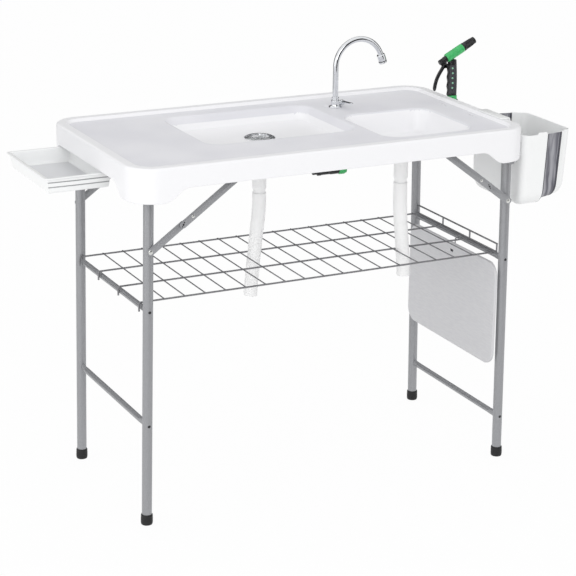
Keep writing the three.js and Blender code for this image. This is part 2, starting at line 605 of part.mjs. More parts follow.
// Hand sprayer standing in a ring on the right end
function sprayerParts() {
  const { x, y } = sprayer;
  const tilt = sprayer.barrelTilt * Math.PI / 180;
  const along = point(Math.cos(tilt), 0, Math.sin(tilt));
  const rear = point(x + sprayer.barrelBack, y, sprayer.barrelStart);
  const at = (distance) => rear.clone().addScaledVector(along, distance);
  const barrelEnd = at(sprayer.barrelLength);
  add('sprayer_barrel', sweep([rear, at(sprayer.barrelLength / 2), barrelEnd],
    [sprayer.barrelRadius - gap, sprayer.barrelRadius, sprayer.barrelRadius], 16), finishes.green);

  const ribPoints = [];
  const ribRadii = [];
  for (let k = 0; k <= 2; k += 1) {
    ribPoints.push(at(sprayer.barrelLength + gap + (sprayer.nozzleLength - gap) * k / 2));
    ribRadii.push(sprayer.nozzleRoot + (sprayer.nozzleTip - sprayer.nozzleRoot) * k / 2);
  }
  const mouthStart = at(sprayer.barrelLength + sprayer.nozzleLength / 2);
  const nozzle = sweep(ribPoints, ribRadii, 16).subtract(
    rod(mouthStart, at(sprayer.barrelLength + sprayer.nozzleLength + overrun), sprayer.nozzleTip / 2, 12));
  add('sprayer_nozzle', nozzle, finishes.black);

  const gripRings = [];
  const gripSteps = 12;
  const gripLow = sprayer.collarHigh + gap;
  for (let k = 0; k <= gripSteps; k += 1) {
    const share = k / gripSteps;
    const wave = sprayer.gripWave * Math.cos(2 * Math.PI * sprayer.waves * share);
    const depth = sprayer.gripDepth - sprayer.gripWave * share + wave / 2;
    const centre = x + wave / 2 - sprayer.gripWave * 2 * share;
    gripRings.push(roundedOutline(centre, y, depth, sprayer.gripHalfWidth, sprayer.gripHalfWidth - gap, 3)
      .map(([a, b]) => point(a, b, gripLow + (sprayer.gripHigh - gripLow) * share)));
  }
  const barrelRoom = rod(at(-gap), at(sprayer.barrelLength), sprayer.barrelRadius + 2 * gap, 16);
  const barrelTopCut = box(x - sprayer.barrelLength, x + sprayer.barrelLength, y - sprayer.gripDepth,
    y + sprayer.gripDepth, sprayer.barrelStart, sprayer.barrelStart + sprayer.barrelLength);
  const grip = loft(gripRings).subtract(barrelRoom).subtract(barrelTopCut);
  const valve = rod(at(-gap), at(-sprayer.valveLength), sprayer.valveRadius, 16);
  const pivot = point(x + sprayer.triggerPivotX, y, sprayer.triggerPivotZ);
  const earInner = sprayer.bossWidth / 2 + gap;
  const ears = sides.map((side) => {
    const y0 = y + side * earInner;
    const y1 = y + side * (earInner + sprayer.earThickness);
    const plateOf = (from, to, radius) => sweepFlat(from, to, radius, Math.min(y0, y1), Math.max(y0, y1));
    return plateOf(pivot, at(-sprayer.valveLength / 2), sprayer.bossRadius)
      .add(plateOf(pivot, point(x - sprayer.gripWave, y, sprayer.triggerPivotZ), sprayer.bossRadius));
  });
  const pinHalf = earInner + sprayer.earThickness / 2;
  const pin = rod(pivot.clone().add(point(0, -pinHalf, 0)), pivot.clone().add(point(0, pinHalf, 0)),
    sprayer.pinRadius);
  const handleBody = joinAll([grip, valve, ...ears]).subtract(barrelRoom).add(pin);
  add('sprayer_handle', handleBody, finishes.black);

  const foot = point(x + sprayer.triggerFootX, y, sprayer.triggerFootZ);
  const triggerPath = [];
  const triggerSteps = 8;
  for (let k = 0; k <= triggerSteps; k += 1) {
    const share = k / triggerSteps;
    triggerPath.push(pivot.clone().lerp(foot, share)
      .add(point(-sprayer.triggerBow * Math.sin(Math.PI * share), 0, 0)));
  }
  const boss = rod(pivot.clone().add(point(0, -sprayer.bossWidth / 2, 0)),
    pivot.clone().add(point(0, sprayer.bossWidth / 2, 0)), sprayer.bossRadius);
  const pinRoom = rod(pivot.clone().add(point(0, -sprayer.bossWidth, 0)),
    pivot.clone().add(point(0, sprayer.bossWidth, 0)), sprayer.pinRadius + gap);
  const flatness = sprayer.triggerThickness / sprayer.bossWidth;
  const triggerBar = sweep(triggerPath, sprayer.bossWidth / 2, 10, flatness);
  add('sprayer_trigger', boss.add(triggerBar).subtract(pinRoom), finishes.black);

  add('sprayer_flow_knob', rod(at(-sprayer.valveLength - gap),
    at(-sprayer.valveLength - sprayer.knobLength), sprayer.knobRadius, 12), finishes.black);

  const nippleLow = sprayer.collarLow - sprayer.nippleDrop;
  add('sprayer_collar', turned(x, y, 0, [
    [0, nippleLow], [sprayer.nippleRadius, nippleLow], [sprayer.nippleRadius, sprayer.collarLow],
    [sprayer.collarRadius, sprayer.collarLow], [sprayer.collarRadius, sprayer.collarHigh],
    [0, sprayer.collarHigh],
  ], 24), finishes.green);

  const ringInner = sprayer.collarRadius + gap;
  const ringOuter = ringInner + holder.wall;
  const ledgeHigh = sprayer.collarLow - gap;
  const ledgeLow = ledgeHigh - holder.ledge;
  const ring = turned(x, y, 0, closedProfile([
    [sprayer.nippleRadius + gap, ledgeLow], [ringOuter, ledgeLow], [ringOuter, ledgeLow + holder.height],
    [ringInner, ledgeLow + holder.height], [ringInner, ledgeHigh], [sprayer.nippleRadius + gap, ledgeHigh],
  ]), 24);
  const plateX = top.endX + gap;
  const plateLow = holder.lowEdge;
  let mountPlate = box(plateX, plateX + holder.plateThickness, y - holder.plateWidth / 2,
    y + holder.plateWidth / 2, plateLow, plateLow + holder.plateHeight);
  mountPlate = mountPlate.subtract(rod(point(x, y, plateLow - overrun),
    point(x, y, plateLow + holder.plateHeight + overrun), ringInner, 24));
  add('sprayer_holder', ring.add(mountPlate), finishes.black);
}

// A flat bar with round ends in the XZ plane
function sweepFlat(from, to, radius, y0, y1) {
  const angle = Math.atan2(to.z - from.z, to.x - from.x);
  const steps = 6;
  const pairs = [];
  [[from, Math.PI / 2], [to, -Math.PI / 2]].forEach(([centre, start]) => {
    for (let k = 0; k <= steps; k += 1) {
      const turn = angle + start + Math.PI * k / steps;
      pairs.push([centre.x + radius * Math.cos(turn), centre.z + radius * Math.sin(turn)]);
    }
  });
  return prism(pairs, 'y', y0, y1);
}

// Slide-on tray and the two guides that carry its rim
function trayParts() {
  const length = tray.right - tray.left;
  const width = tray.backY - tray.frontY;
  const x = (tray.left + tray.right) / 2;
  const y = (tray.frontY + tray.backY) / 2;
  const low = tray.rimTop - tray.height;
  const rimLow = tray.rimTop - tray.rimThickness;
  const body = plate(x, y, length - 2 * tray.rim, width - 2 * tray.rim, tray.cornerRadius,
    [[low, tray.draft], [rimLow + gap, 0]], 4);
  const rim = plate(x, y, length, width, tray.cornerRadius, [[rimLow, 0], [tray.rimTop, 0]], 4);
  const ridges = tray.ridgeDrops.map((drop) => {
    const high = tray.rimTop - drop;
    return plate(x, y, length - 2 * tray.rim, width - tray.rim, tray.cornerRadius,
      [[high - tray.ridgeHeight, tray.rim / 4], [high, 0]], 4);
  });
  const hollow = plate(x, y, length - 2 * tray.rim - 2 * tray.wall, width - 2 * tray.rim - 2 * tray.wall,
    tray.cornerRadius - tray.wall, [[low + tray.wall, tray.draft], [tray.rimTop + overrun, 0]], 4);
  add('slide_tray', joinAll([body, rim, ...ridges]).subtract(hollow), finishes.white);

  sides.forEach((side) => {
    const edge = side === front ? tray.frontY : tray.backY;
    const web0 = edge + side * gap;
    const web1 = web0 + side * guide.thickness;
    const slab = (ya, yb, z0, z1) => box(guide.start, guide.end, Math.min(ya, yb), Math.max(ya, yb), z0, z1);
    const ledgeHigh = tray.rimTop - tray.rimThickness - gap;
    const high = top.underside - gap;
    add(`tray_guide_${sideName(side)}`, joinAll([
      slab(web0, web1, ledgeHigh - guide.thickness, high),
      slab(edge - side * (tray.rim / 2 - gap), web1, ledgeHigh - guide.thickness, ledgeHigh),
      slab(web0, web1 + side * guide.flange, high - guide.thickness, high),
    ]), finishes.steel);
  });
}

// Folding bucket: inner shell, soft grey band and outer shell, open at the top
function bucketRing(x, half, low, inset) {
  const radius = Math.max(bucket.cornerRadius - inset, gap);
  const width = half - inset;
  const bottom = low + inset;
  const steps = 6;
  const ring = [];
  [[1, 0], [-1, Math.PI / 2]].forEach(([sign, start]) => {
    for (let k = 0; k <= steps; k += 1) {
      const turn = start + (Math.PI / 2) * k / steps;
      const centreY = bucket.y + sign * (width - radius);
      ring.push([centreY + radius * Math.cos(turn), bottom + radius - radius * Math.sin(turn)]);
    }
  });
  return { x, ring, width };
}

// The bucket narrows evenly downwards, towards its middle and the end by the table
function bucketLoft(sections, high) {
  const drawn = (x, y, z) => {
    const scale = 1 - (bucket.taper / bucket.depth) * (bucket.rim - z) / bucket.depth;
    return point(bucket.startX + (x - bucket.startX) * scale, bucket.y + (y - bucket.y) * scale, z);
  };
  return loft(sections.map(({ x, ring, width }) => [
    ...ring.map(([a, b]) => drawn(x, a, b)),
    drawn(x, bucket.y - width, high), drawn(x, bucket.y + width, high),
  ]));
}

function bucketParts() {
  const x0 = bucket.startX;
  const x1 = x0 + bucket.innerLength;
  const x2 = x1 + bucket.bandLength;
  const x3 = x2 + bucket.outerLength;
  const { wall, bandWall, planRound } = bucket;
  const shares = [0, 0.12, 0.45, 1];
  const rounding = (share, inset) => inset + planRound * (1 - Math.sqrt(1 - (1 - share) ** 2));
  const high = bucket.rim;
  const open = high + overrun;

  const inner = (start, inset, end) => shares
    .map((share) => bucketRing(start + planRound * share, bucket.innerHalf, bucket.bottom,
      rounding(share, inset)))
    .concat([bucketRing(end, bucket.joinHalf, bucket.bottom, inset)]);
  add('bucket_inner_shell', bucketLoft(inner(x0, 0, x1), high)
    .subtract(bucketLoft(inner(x0 + wall, wall, x1 + overrun), open)), finishes.white);

  const bandRing = (share, inset) => bucketRing(x1 + gap + (x2 - x1 - gap) * share,
    bucket.joinHalf + (bucket.bandHalf - bucket.joinHalf) * share,
    bucket.bottom + bucket.bandRise * share, inset);
  const bandStep = overrun / bucket.bandLength;
  const bandRoom = bucketLoft([bandRing(-bandStep, bandWall), bandRing(1 + bandStep, bandWall)], open);
  add('bucket_band', bucketLoft([bandRing(0, 0), bandRing(1, 0)], high - gap).subtract(bandRoom),
    finishes.band);

  const outerLow = bucket.bottom + bucket.bandRise;
  const outer = (start, inset, end) => [bucketRing(start, bucket.bandHalf, outerLow, inset)].concat(
    [...shares].reverse().map((share) => bucketRing(end - planRound * share, bucket.outerHalf,
      outerLow, rounding(share, inset))));
  add('bucket_outer_shell', bucketLoft(outer(x2 + gap, 0, x3), high)
    .subtract(bucketLoft(outer(x2 - overrun, wall, x3 - wall), open)), finishes.white);

  const plateLow = top.height + gap;
  const clipX0 = top.endX - bucket.clipReach;
  const strapX = top.endX + gap;
  const strap = box(strapX, x0 - gap, bucket.y - bucket.clipWidth / 2, bucket.y + bucket.clipWidth / 2,
    high - bucket.clipDrop, plateLow + bucket.clipThickness);
  const over = plate((clipX0 + x0 - gap) / 2, bucket.y, x0 - gap - clipX0, bucket.clipWidth,
    bucket.clipThickness * 3,
    [[plateLow, 0], [plateLow + bucket.clipThickness, bucket.clipThickness / 3]], 4);
  add('bucket_clip', strap.add(over), finishes.white);
}

// Leg frames
function frameGeometry(frame) {
  const { dir, pivotX, pivotZ } = frame;
  const slope = leg.spread / pivotZ;
  const at = (distance, y) => point(pivotX + dir * slope * distance, y, pivotZ - distance);
  const braceFoot = at(frame.braceOnLeg, 0);
  const braceHead = point(pivotX - dir * frame.braceX, 0, frame.braceZ);
  const foldedFoot = point(pivotX - dir * frame.braceOnLeg, 0, pivotZ);
  const full = braceFoot.distanceTo(braceHead);
  const lowerLength = (full - foldedFoot.distanceTo(braceHead)) / 2;
  const braceJoint = braceFoot.clone().lerp(braceHead, lowerLength / full);
  return { at, braceFoot, braceHead, braceJoint };
}

const onPlane = (p, y) => point(p.x, y, p.z);

function legFrame(name, frame) {
  const { at, braceFoot, braceHead, braceJoint } = frameGeometry(frame);
  const { dir, pivotX, pivotZ } = frame;
  const tubeSolid = {};
  sides.forEach((side) => {
    const y = side * leg.halfTrack;
    const high = at(-leg.topRun, y);
    const low = at(pivotZ - leg.capFloor - gap, y);
    const pinEnd = side * (brace.lowerPlane + brace.thickness);
    const pivotRoom = rod(point(pivotX, y - leg.capRadius, pivotZ), point(pivotX, y + leg.capRadius, pivotZ),
      leg.pivotRadius + gap, 14);
    const pin = rod(onPlane(braceFoot, y), onPlane(braceFoot, pinEnd), brace.pinRadius, 10);
    add(`${name}_leg_${sideName(side)}`, tube(high, low, leg.tubeRadius, leg.tubeWall, 12)
      .subtract(pivotRoom).add(pin), finishes.steel);
    tubeSolid[side] = rod(high, low, leg.tubeRadius + 2 * gap, 14);

    const capTop = at(pivotZ - leg.capHeight, y);
    const capLow = at(pivotZ + overrun, y);
    const cap = rod(capTop, capLow, leg.capRadius, 16)
      .subtract(rod(at(pivotZ - leg.capHeight - overrun, y), at(pivotZ - leg.capFloor, y),
        leg.tubeRadius + gap))
      .subtract(box(capLow.x - 2 * leg.capRadius, capLow.x + 2 * leg.capRadius, y - 2 * leg.capRadius,
        y + 2 * leg.capRadius, -2 * leg.capRadius, 0));
    add(`${name}_foot_${sideName(side)}`, cap, finishes.foot);
  });

  const railOuter = sideRail.plane + sideRail.thickness;
  add(`${name}_pivot_tube`, tube(point(pivotX, -railOuter, pivotZ), point(pivotX, railOuter, pivotZ),
    leg.pivotRadius, leg.pivotWall, 14), finishes.steel);

  const bars = [['upper', frame.upper, crossbar.upperRadius], ['lower', frame.lower, crossbar.lowerRadius]];
  bars.forEach(([level, drop, radius]) => {
    const reach = leg.halfTrack - leg.tubeRadius / 2;
    let bar = rod(at(drop, -reach), at(drop, reach), radius, 12)
      .subtract(tubeSolid[front]).subtract(tubeSolid[back])
      .subtract(rod(at(drop, -leg.halfTrack), at(drop, leg.halfTrack), radius - crossbar.wall, 12));
    if (name === 'right' && level === 'upper') {
      const barX = at(drop, 0).x - radius;
      const hookX = board.x + board.thickness / 2 + gap + boardHook.wire;
      const barZ = at(drop, 0).z;
      const start = point(barX + crossbar.wall / 2, board.holeY, barZ);
      bar = bar.add(sweep([start, point(hookX, board.holeY, barZ),
        point(hookX, board.holeY, barZ - boardHook.tipDrop)], boardHook.wire, 8));
    }
    add(`${name}_${level}_crossbar`, bar, finishes.steel);
  });

  const half = brace.width / 2;
  sides.forEach((side) => {
    const plane = (start, depth) => [side * start, side * (start + depth)].sort((a, b) => a - b);
    const dome = (centre, face, depth) => {
      const [y0, y1] = plane(face, depth);
      return rod(onPlane(centre, y0), onPlane(centre, y1), brace.headRadius, 10);
    };
    const [low0, low1] = plane(brace.lowerPlane, brace.thickness);
    const pinHole = (centre, y0, y1) => rod(onPlane(centre, y0 - overrun), onPlane(centre, y1 + overrun),
      brace.holeRadius + gap / 2, 12);
    add(`${name}_brace_lower_${sideName(side)}`, sweepFlat(braceFoot, braceJoint, half, low0, low1)
      .subtract(pinHole(braceFoot, low0, low1))
      .add(dome(braceJoint, brace.lowerPlane - brace.headHeight, brace.headHeight + gap)), finishes.steel);
    const [up0, up1] = plane(brace.upperPlane, brace.thickness);
    add(`${name}_brace_upper_${sideName(side)}`, sweepFlat(braceJoint, braceHead, half, up0, up1)
      .subtract(pinHole(braceHead, up0, up1))
      .add(dome(braceJoint, brace.upperPlane + brace.thickness - gap, brace.headHeight + gap)),
    finishes.steel);
  });
}

// Steel side rails under the top: they carry the frame pivots and the brace heads
function sideRails() {
  const high = top.underside - gap;
  const low = top.underside - sideRail.depth;
  sides.forEach((side) => {
    const plane = [side * sideRail.plane, side * (sideRail.plane + sideRail.thickness)].sort((a, b) => a - b);
    const outer = side * (sideRail.plane + sideRail.thickness + sideRail.flange);
    const [f0, f1] = [side * sideRail.plane, outer].sort((a, b) => a - b);
    let rail = box(sideRail.startX, sideRail.endX, plane[0], plane[1], low, high)
      .add(box(sideRail.startX, sideRail.flangeEndX, f0, f1, high - sideRail.thickness, high));
    const ear = (centre, radius) => sweepFlat(centre, point(centre.x, 0, low + radius), radius,
      plane[0], plane[1]);
    Object.values(frames).forEach((frame) => {
      const centre = point(frame.pivotX, 0, frame.pivotZ);
      const pivotHole = rod(onPlane(centre, plane[0] - overrun), onPlane(centre, plane[1] + overrun),
        leg.pivotRadius + 2 * gap, 14);
      const { braceHead } = frameGeometry(frame);
      const pin = rod(onPlane(braceHead, side * (brace.upperPlane - gap)),
        onPlane(braceHead, side * (sideRail.plane + gap)), brace.pinRadius, 10);
      rail = rail.add(ear(centre, sideRail.earRadius)).subtract(pivotHole);
      rail = rail.add(ear(braceHead, brace.width / 2)).add(pin);
    });
    add(`side_rail_${sideName(side)}`, rail, finishes.steel);
  });
}

// Wire shelf: a welded grid hooked over the left upper crossbar, and an end rail on the right one
function shelfParts() {
  const left = frameGeometry(frames.left).at(frames.left.upper, 0);
  const right = frameGeometry(frames.right).at(frames.right.upper, 0);
  const z = Math.max(left.z, right.z) + crossbar.upperRadius + shelf.wire + gap;
  const hookX = left.x - crossbar.upperRadius - shelf.wire - gap;
  const spacing = (shelf.backY - shelf.frontY) / (shelf.longWires - 1);
  const wires = [];
  for (let k = 0; k < shelf.longWires; k += 1) {
    const y = shelf.frontY + k * spacing;
    wires.push(sweep([point(hookX, y, z - shelf.hookDrop), point(hookX, y, z - shelf.wire),
      point(hookX + shelf.wire, y, z), point(shelf.endX, y, z)], shelf.wire, 6));
  }
  const crossZ = z + shelf.crossWire;
  for (let k = 0; k < shelf.crossWires; k += 1) {
    const x = shelf.startX + k * shelf.pitch;
    wires.push(rod(point(x, shelf.frontY - shelf.wire, crossZ), point(x, shelf.backY + shelf.wire, crossZ),
      shelf.crossWire, 6));
  }
  add('shelf_grid', joinAll(wires), finishes.wire);

  const footZ = right.z + crossbar.upperRadius + shelf.wire + gap;
  const high = footZ + shelf.railHeight;
  const y0 = shelf.frontY - shelf.wire;
  const y1 = shelf.backY + shelf.wire;
  const posts = [y0, y1, y0 + spacing, y1 - spacing].map((y) => rod(point(shelf.railX, y, footZ),
    point(shelf.railX, y, high), shelf.wire, 6));
  add('shelf_end_rail', joinAll([
    rod(point(shelf.railX, y0 - shelf.wire, high), point(shelf.railX, y1 + shelf.wire, high), shelf.wire, 6),
    rod(point(shelf.railX, y0 - shelf.wire, footZ), point(shelf.railX, y1 + shelf.wire, footZ),
      shelf.wire, 6),
    ...posts,
  ]), finishes.wire);
}

function cuttingBoard() {
  const y = (board.frontY + board.backY) / 2;
  const z = (board.top + board.bottom) / 2;
  const outline = roundedOutline(y, z, (board.backY - board.frontY) / 2, (board.top - board.bottom) / 2,
    board.cornerRadius, 8);
  const x0 = board.x - board.thickness / 2;
  const x1 = board.x + board.thickness / 2;
  const holeZ = board.top - board.holeDrop;
  const hole = rod(point(x0 - overrun, board.holeY, holeZ), point(x1 + overrun, board.holeY, holeZ),
    board.holeRadius, 20);
  add('cutting_board', prism(outline, 'x', x0, x1).subtract(hole), finishes.board);
}

tableTop();
bowlPiece(basin, 'basin');
bowlPiece(sink, 'sink');
drainParts(basin, 'left');
drainParts(sink, 'right');
drainHose('left');
drainHose('right');
faucetParts();
sprayerParts();
trayParts();
bucketParts();
Object.entries(frames).forEach(([name, frame]) => legFrame(name, frame));
sideRails();
shelfParts();
cuttingBoard();

export default group;
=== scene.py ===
# %% [markdown]
# Folding fish cleaning table.
# A blow-moulded white top stands on two folding frames of grey steel tube. It carries a shallow
# rinsing basin, a deeper sink, a chrome faucet, a hand sprayer, two drain hoses, a wire shelf, a
# slide-on tray, a folding bucket and a cutting board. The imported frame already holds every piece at
# its real size. This lesson gives the pieces their fine surfaces and their finishes.

# %% The frame
import math
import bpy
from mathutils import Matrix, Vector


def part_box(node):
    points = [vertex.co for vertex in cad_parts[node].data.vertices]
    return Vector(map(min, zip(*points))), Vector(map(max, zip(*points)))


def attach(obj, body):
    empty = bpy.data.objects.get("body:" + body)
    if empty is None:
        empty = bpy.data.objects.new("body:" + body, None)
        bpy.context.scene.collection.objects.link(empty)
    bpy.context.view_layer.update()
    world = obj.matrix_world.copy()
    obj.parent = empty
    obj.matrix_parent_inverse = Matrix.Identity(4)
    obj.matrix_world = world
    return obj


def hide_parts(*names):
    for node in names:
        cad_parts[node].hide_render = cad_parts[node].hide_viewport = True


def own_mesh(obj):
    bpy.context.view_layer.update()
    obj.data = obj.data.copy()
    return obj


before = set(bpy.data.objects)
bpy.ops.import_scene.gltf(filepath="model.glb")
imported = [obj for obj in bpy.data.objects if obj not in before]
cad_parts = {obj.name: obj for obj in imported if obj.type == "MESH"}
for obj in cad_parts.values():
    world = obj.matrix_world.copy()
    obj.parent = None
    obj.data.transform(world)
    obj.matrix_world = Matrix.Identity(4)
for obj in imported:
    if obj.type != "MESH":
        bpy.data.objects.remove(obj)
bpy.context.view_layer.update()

from types import SimpleNamespace as Size

import bmesh
import bpy
import numpy as np
from mathutils import Matrix, Vector

# %% [markdown]
# Everything below is drawn in millimetres, with x = 0 at the middle of the top, as a maker would
# draw it. The frame's own zero is the middle of the whole object, so one shift along X, read from
# the top's box, carries each drawing into the frame.

# %% Units and places
mm = 0.001
top_low, top_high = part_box("table_top")
SHIFT = np.array([(top_low.x + top_high.x) / 2, 0.0, 0.0])


def in_frame(points):
    """Millimetres of the drawing, as metres of the frame."""
    return np.asarray(points, float) * mm + SHIFT


def unit(vector):
    """The vector, or each row of an array of vectors, divided by its own length."""
    vector = np.asarray(vector, float)
    return vector / np.linalg.norm(vector, axis=-1, keepdims=True)


def eased(share):
    """Half a cosine wave: 0 below 0, 1 above 1, level at both ends."""
    return (1 - np.cos(np.pi * np.clip(share, 0, 1))) / 2


# %% [markdown]
# The photographer stood in front and to the left, a little above the top. The camera's place, turn
# and focal length were worked out from the feet, the crossbars and the edges of the top, so each
# corner falls where the photograph has it. Focal length in pixels becomes a lens in millimetres by
# the ratio of Blender's 36 mm sensor to the 576 pixels of the image.

# %% Camera
IMAGE_PIXELS = 576
FOCAL_PIXELS = 1892.19
CAMERA_AT = (-2282.5, -4529.1, 2189.94)
CAMERA_YAW, CAMERA_PITCH, CAMERA_ROLL = (math.radians(a) for a in (-26.768, 18.254, 0.749))

backward = np.array([
    math.sin(CAMERA_YAW) * math.cos(CAMERA_PITCH),
    -math.cos(CAMERA_YAW) * math.cos(CAMERA_PITCH),
    math.sin(CAMERA_PITCH),
])
level = unit(np.cross(-backward, (0, 0, 1)))
upward = np.cross(level, -backward)
rightward = level * math.cos(CAMERA_ROLL) + upward * math.sin(CAMERA_ROLL)
upward = upward * math.cos(CAMERA_ROLL) - level * math.sin(CAMERA_ROLL)

camera_data = bpy.data.cameras.new("camera")
camera_data.sensor_width = 36
camera_data.lens = FOCAL_PIXELS * camera_data.sensor_width / IMAGE_PIXELS
camera_data.clip_end = 100
camera = bpy.data.objects.new("camera", camera_data)
bpy.context.scene.collection.objects.link(camera)
turn = Matrix([list(row) for row in np.stack([rightward, upward, backward], axis=1)])
camera.matrix_world = Matrix.Translation(Vector(in_frame(CAMERA_AT))) @ turn.to_4x4()
bpy.context.scene.camera = camera
print("lens", round(camera_data.lens, 2), "mm")

# %% [markdown]
# A surface can be written as a grid of points, a function of two parameters, and numpy works out
# the whole grid at once. The next cell turns one or more such grids into a mesh: each cell of the
# grid is one face, a wrapped grid joins its last column to its first, and rows shrunk to a point
# close an end. Merging the doubled points welds the seams and poles.

# %% From grids to a mesh
WELD = 2e-6
CREASE = math.radians(38)


def grid_faces(rows, columns, wrap, first):
    """Corner numbers of each grid cell, four to a face, starting at the point numbered first."""
    row = np.arange(rows - 1)[:, None]
    column = np.arange(columns if wrap else columns - 1)[None, :]
    beside = (column + 1) % columns
    corners = [row * columns + column, (row + 1) * columns + column,
               (row + 1) * columns + beside, row * columns + beside]
    return np.stack(np.broadcast_arrays(*corners), axis=-1).reshape(-1, 4) + first


def mesh_of(name, points, faces, coat=None):
    """A mesh from metres and four-cornered faces: doubles merged, normals outwards, creases kept.
    Coat numbers the finish of each face."""
    mesh = bpy.data.meshes.new(name)
    mesh.vertices.add(len(points))
    mesh.vertices.foreach_set("co", np.asarray(points, np.float32).ravel())
    mesh.loops.add(faces.size)
    mesh.loops.foreach_set("vertex_index", faces.astype(np.int32).ravel())
    mesh.polygons.add(len(faces))
    mesh.polygons.foreach_set("loop_start", np.arange(len(faces), dtype=np.int32) * 4)
    if coat is not None:
        mesh.polygons.foreach_set("material_index", np.asarray(coat, np.int32))
    mesh.update(calc_edges=True)
    weld(mesh)
    return mesh


def weld(mesh):
    """Merge doubles, turn the normals outwards, shade smooth and keep edges sharper than CREASE."""
    work = bmesh.new()
    work.from_mesh(mesh)
    bmesh.ops.remove_doubles(work, verts=work.verts, dist=WELD)
    bmesh.ops.dissolve_degenerate(work, edges=work.edges, dist=WELD)
    bmesh.ops.recalc_face_normals(work, faces=work.faces)
    work.to_mesh(mesh)
    work.free()
    mesh.shade_smooth()
    mesh.set_sharp_from_angle(angle=CREASE)
    mesh.update()


made = []


def piece(name, coats, body, stands_for):
    """A new piece from grids in millimetres, given as {finish: [grids]}. Each grid is an array, or
    (array, False) if its columns don't join up. It rides on a body and stands for the nodes named."""
    points, faces, coat, count = [], [], [], 0
    for number, grids in enumerate(coats.values()):
        for grid in grids:
            grid, wrap = grid if isinstance(grid, tuple) else (grid, True)
            rows, columns = grid.shape[:2]
            points.append(grid.reshape(-1, 3))
            faces.append(grid_faces(rows, columns, wrap, count))
            coat.append(np.full(len(faces[-1]), number))
            count += rows * columns
    mesh = mesh_of(name, in_frame(np.concatenate(points)), np.concatenate(faces), np.concatenate(coat))
    return settle(name, mesh, list(coats), body, stands_for)


def settle(name, mesh, finishes, body, stands_for):
    """Links a mesh as a piece of the object, with its finishes, its body and its nodes."""
    obj = bpy.data.objects.new(name, mesh)
    bpy.context.scene.collection.objects.link(obj)
    for material in finishes:
        mesh.materials.append(material)
    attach(obj, body)
    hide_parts(*stands_for)
    made.append(obj)
    return obj


def face_places(mesh):
    """The middle of each face, in millimetres of the drawing, and its normal."""
    places, normals = np.zeros(3 * len(mesh.polygons)), np.zeros(3 * len(mesh.polygons))
    mesh.polygons.foreach_get("center", places)
    mesh.polygons.foreach_get("normal", normals)
    return (places.reshape(-1, 3) - SHIFT) / mm, normals.reshape(-1, 3)


# %% [markdown]
# Four ways of drawing a grid cover nearly every piece. A section can be carried along a path, a
# profile can be turned about an axis, an outline can be stacked at several heights with its edge
# drawn in by an inset, and a solid's sharp corners can be cut by a short curve, as a real mould,
# press or lathe leaves them.

# %% Drawing tools
def circle(radius, count):
    """Points round a circle, as pairs. The radius may be one number or one for each point."""
    angle = 2 * np.pi * np.arange(count) / count
    return np.stack([radius * np.cos(angle), radius * np.sin(angle)], axis=-1)


def carry(section, path, side=(0, 1, 0)):
    """The section set square to the path at each of its points. The section's first axis lies along
    side, made square to the path, and its second along tangent x side. A section of shape
    (stations, points, 2) may change on the way."""
    path = np.asarray(path, float)
    tangent = unit(np.gradient(path, axis=0))
    side = np.asarray(side, float)
    across = unit(side - (tangent @ side)[:, None] * tangent)
    over = np.cross(tangent, across)
    section = np.broadcast_to(section, (len(path), *np.shape(section)[-2:]))
    return (path[:, None, :] + section[..., 0, None] * across[:, None, :]
            + section[..., 1, None] * over[:, None, :])


def shut(grid, at_start=True, at_end=True):
    """The grid with a row added at each end, shrunk to that end's middle, which closes it."""
    rows = [grid]
    if at_start:
        rows.insert(0, np.broadcast_to(grid[:1].mean(axis=1, keepdims=True), grid[:1].shape))
    if at_end:
        rows.append(np.broadcast_to(grid[-1:].mean(axis=1, keepdims=True), grid[-1:].shape))
    return np.concatenate(rows)


def softened(points, radius, steps=3):
    """An open profile with each inner corner cut by a curve that starts one radius before it and
    ends one radius after it, or half the side where that is shorter."""
    points = np.asarray(points, float)
    share = np.linspace(0, 1, steps + 1)[:, None]
    out = [points[:1]]
    for before, corner, after in zip(points[:-2], points[1:-1], points[2:]):
        start = corner + unit(before - corner) * min(radius, np.linalg.norm(before - corner) / 2)
        end = corner + unit(after - corner) * min(radius, np.linalg.norm(after - corner) / 2)
        out.append((1 - share) ** 2 * start + 2 * share * (1 - share) * corner + share ** 2 * end)
    out.append(points[-1:])
    return np.concatenate(out)


def turned(profile, base, axis=(0, 0, 1), count=48, ribs=0, rib_depth=0.0):
    """A profile of (radius, height) pairs turned about an axis through base. With ribs, the radius
    also falls by rib_depth times half a cosine, that many times round, wherever it isn't zero."""
    profile = np.asarray(profile, float)
    axis = unit(axis)
    side = unit(np.cross(axis, (0, 1, 0) if abs(axis[1]) < 0.9 else (1, 0, 0)))
    other = np.cross(axis, side)
    angle = 2 * np.pi * np.arange(count) / count
    cut = np.where(profile[:, :1] > 0, rib_depth, 0)
    radius = profile[:, :1] - cut * (1 - np.cos(ribs * angle)) / 2
    height = profile[:, 1, None, None] * axis
    return (np.asarray(base, float) + height + (radius * np.cos(angle))[..., None] * side
            + (radius * np.sin(angle))[..., None] * other)


def rounded_rectangle(half_a, half_b, radius, steps):
    """Gives a function of an inset: the outline of a rectangle with quarter-circle corners, all its
    sides drawn in by the inset, as pairs."""
    def outline(inset):
        bend = max(radius - inset, 0.15)
        angle = np.concatenate([q * np.pi / 2 + np.linspace(0, np.pi / 2, steps + 1) for q in range(4)])
        sign_a = np.repeat([1, -1, -1, 1], steps + 1)
        sign_b = np.repeat([1, 1, -1, -1], steps + 1)
        return np.stack([sign_a * (half_a - inset - bend) + bend * np.cos(angle),
                         sign_b * (half_b - inset - bend) + bend * np.sin(angle)], axis=-1)
    return outline


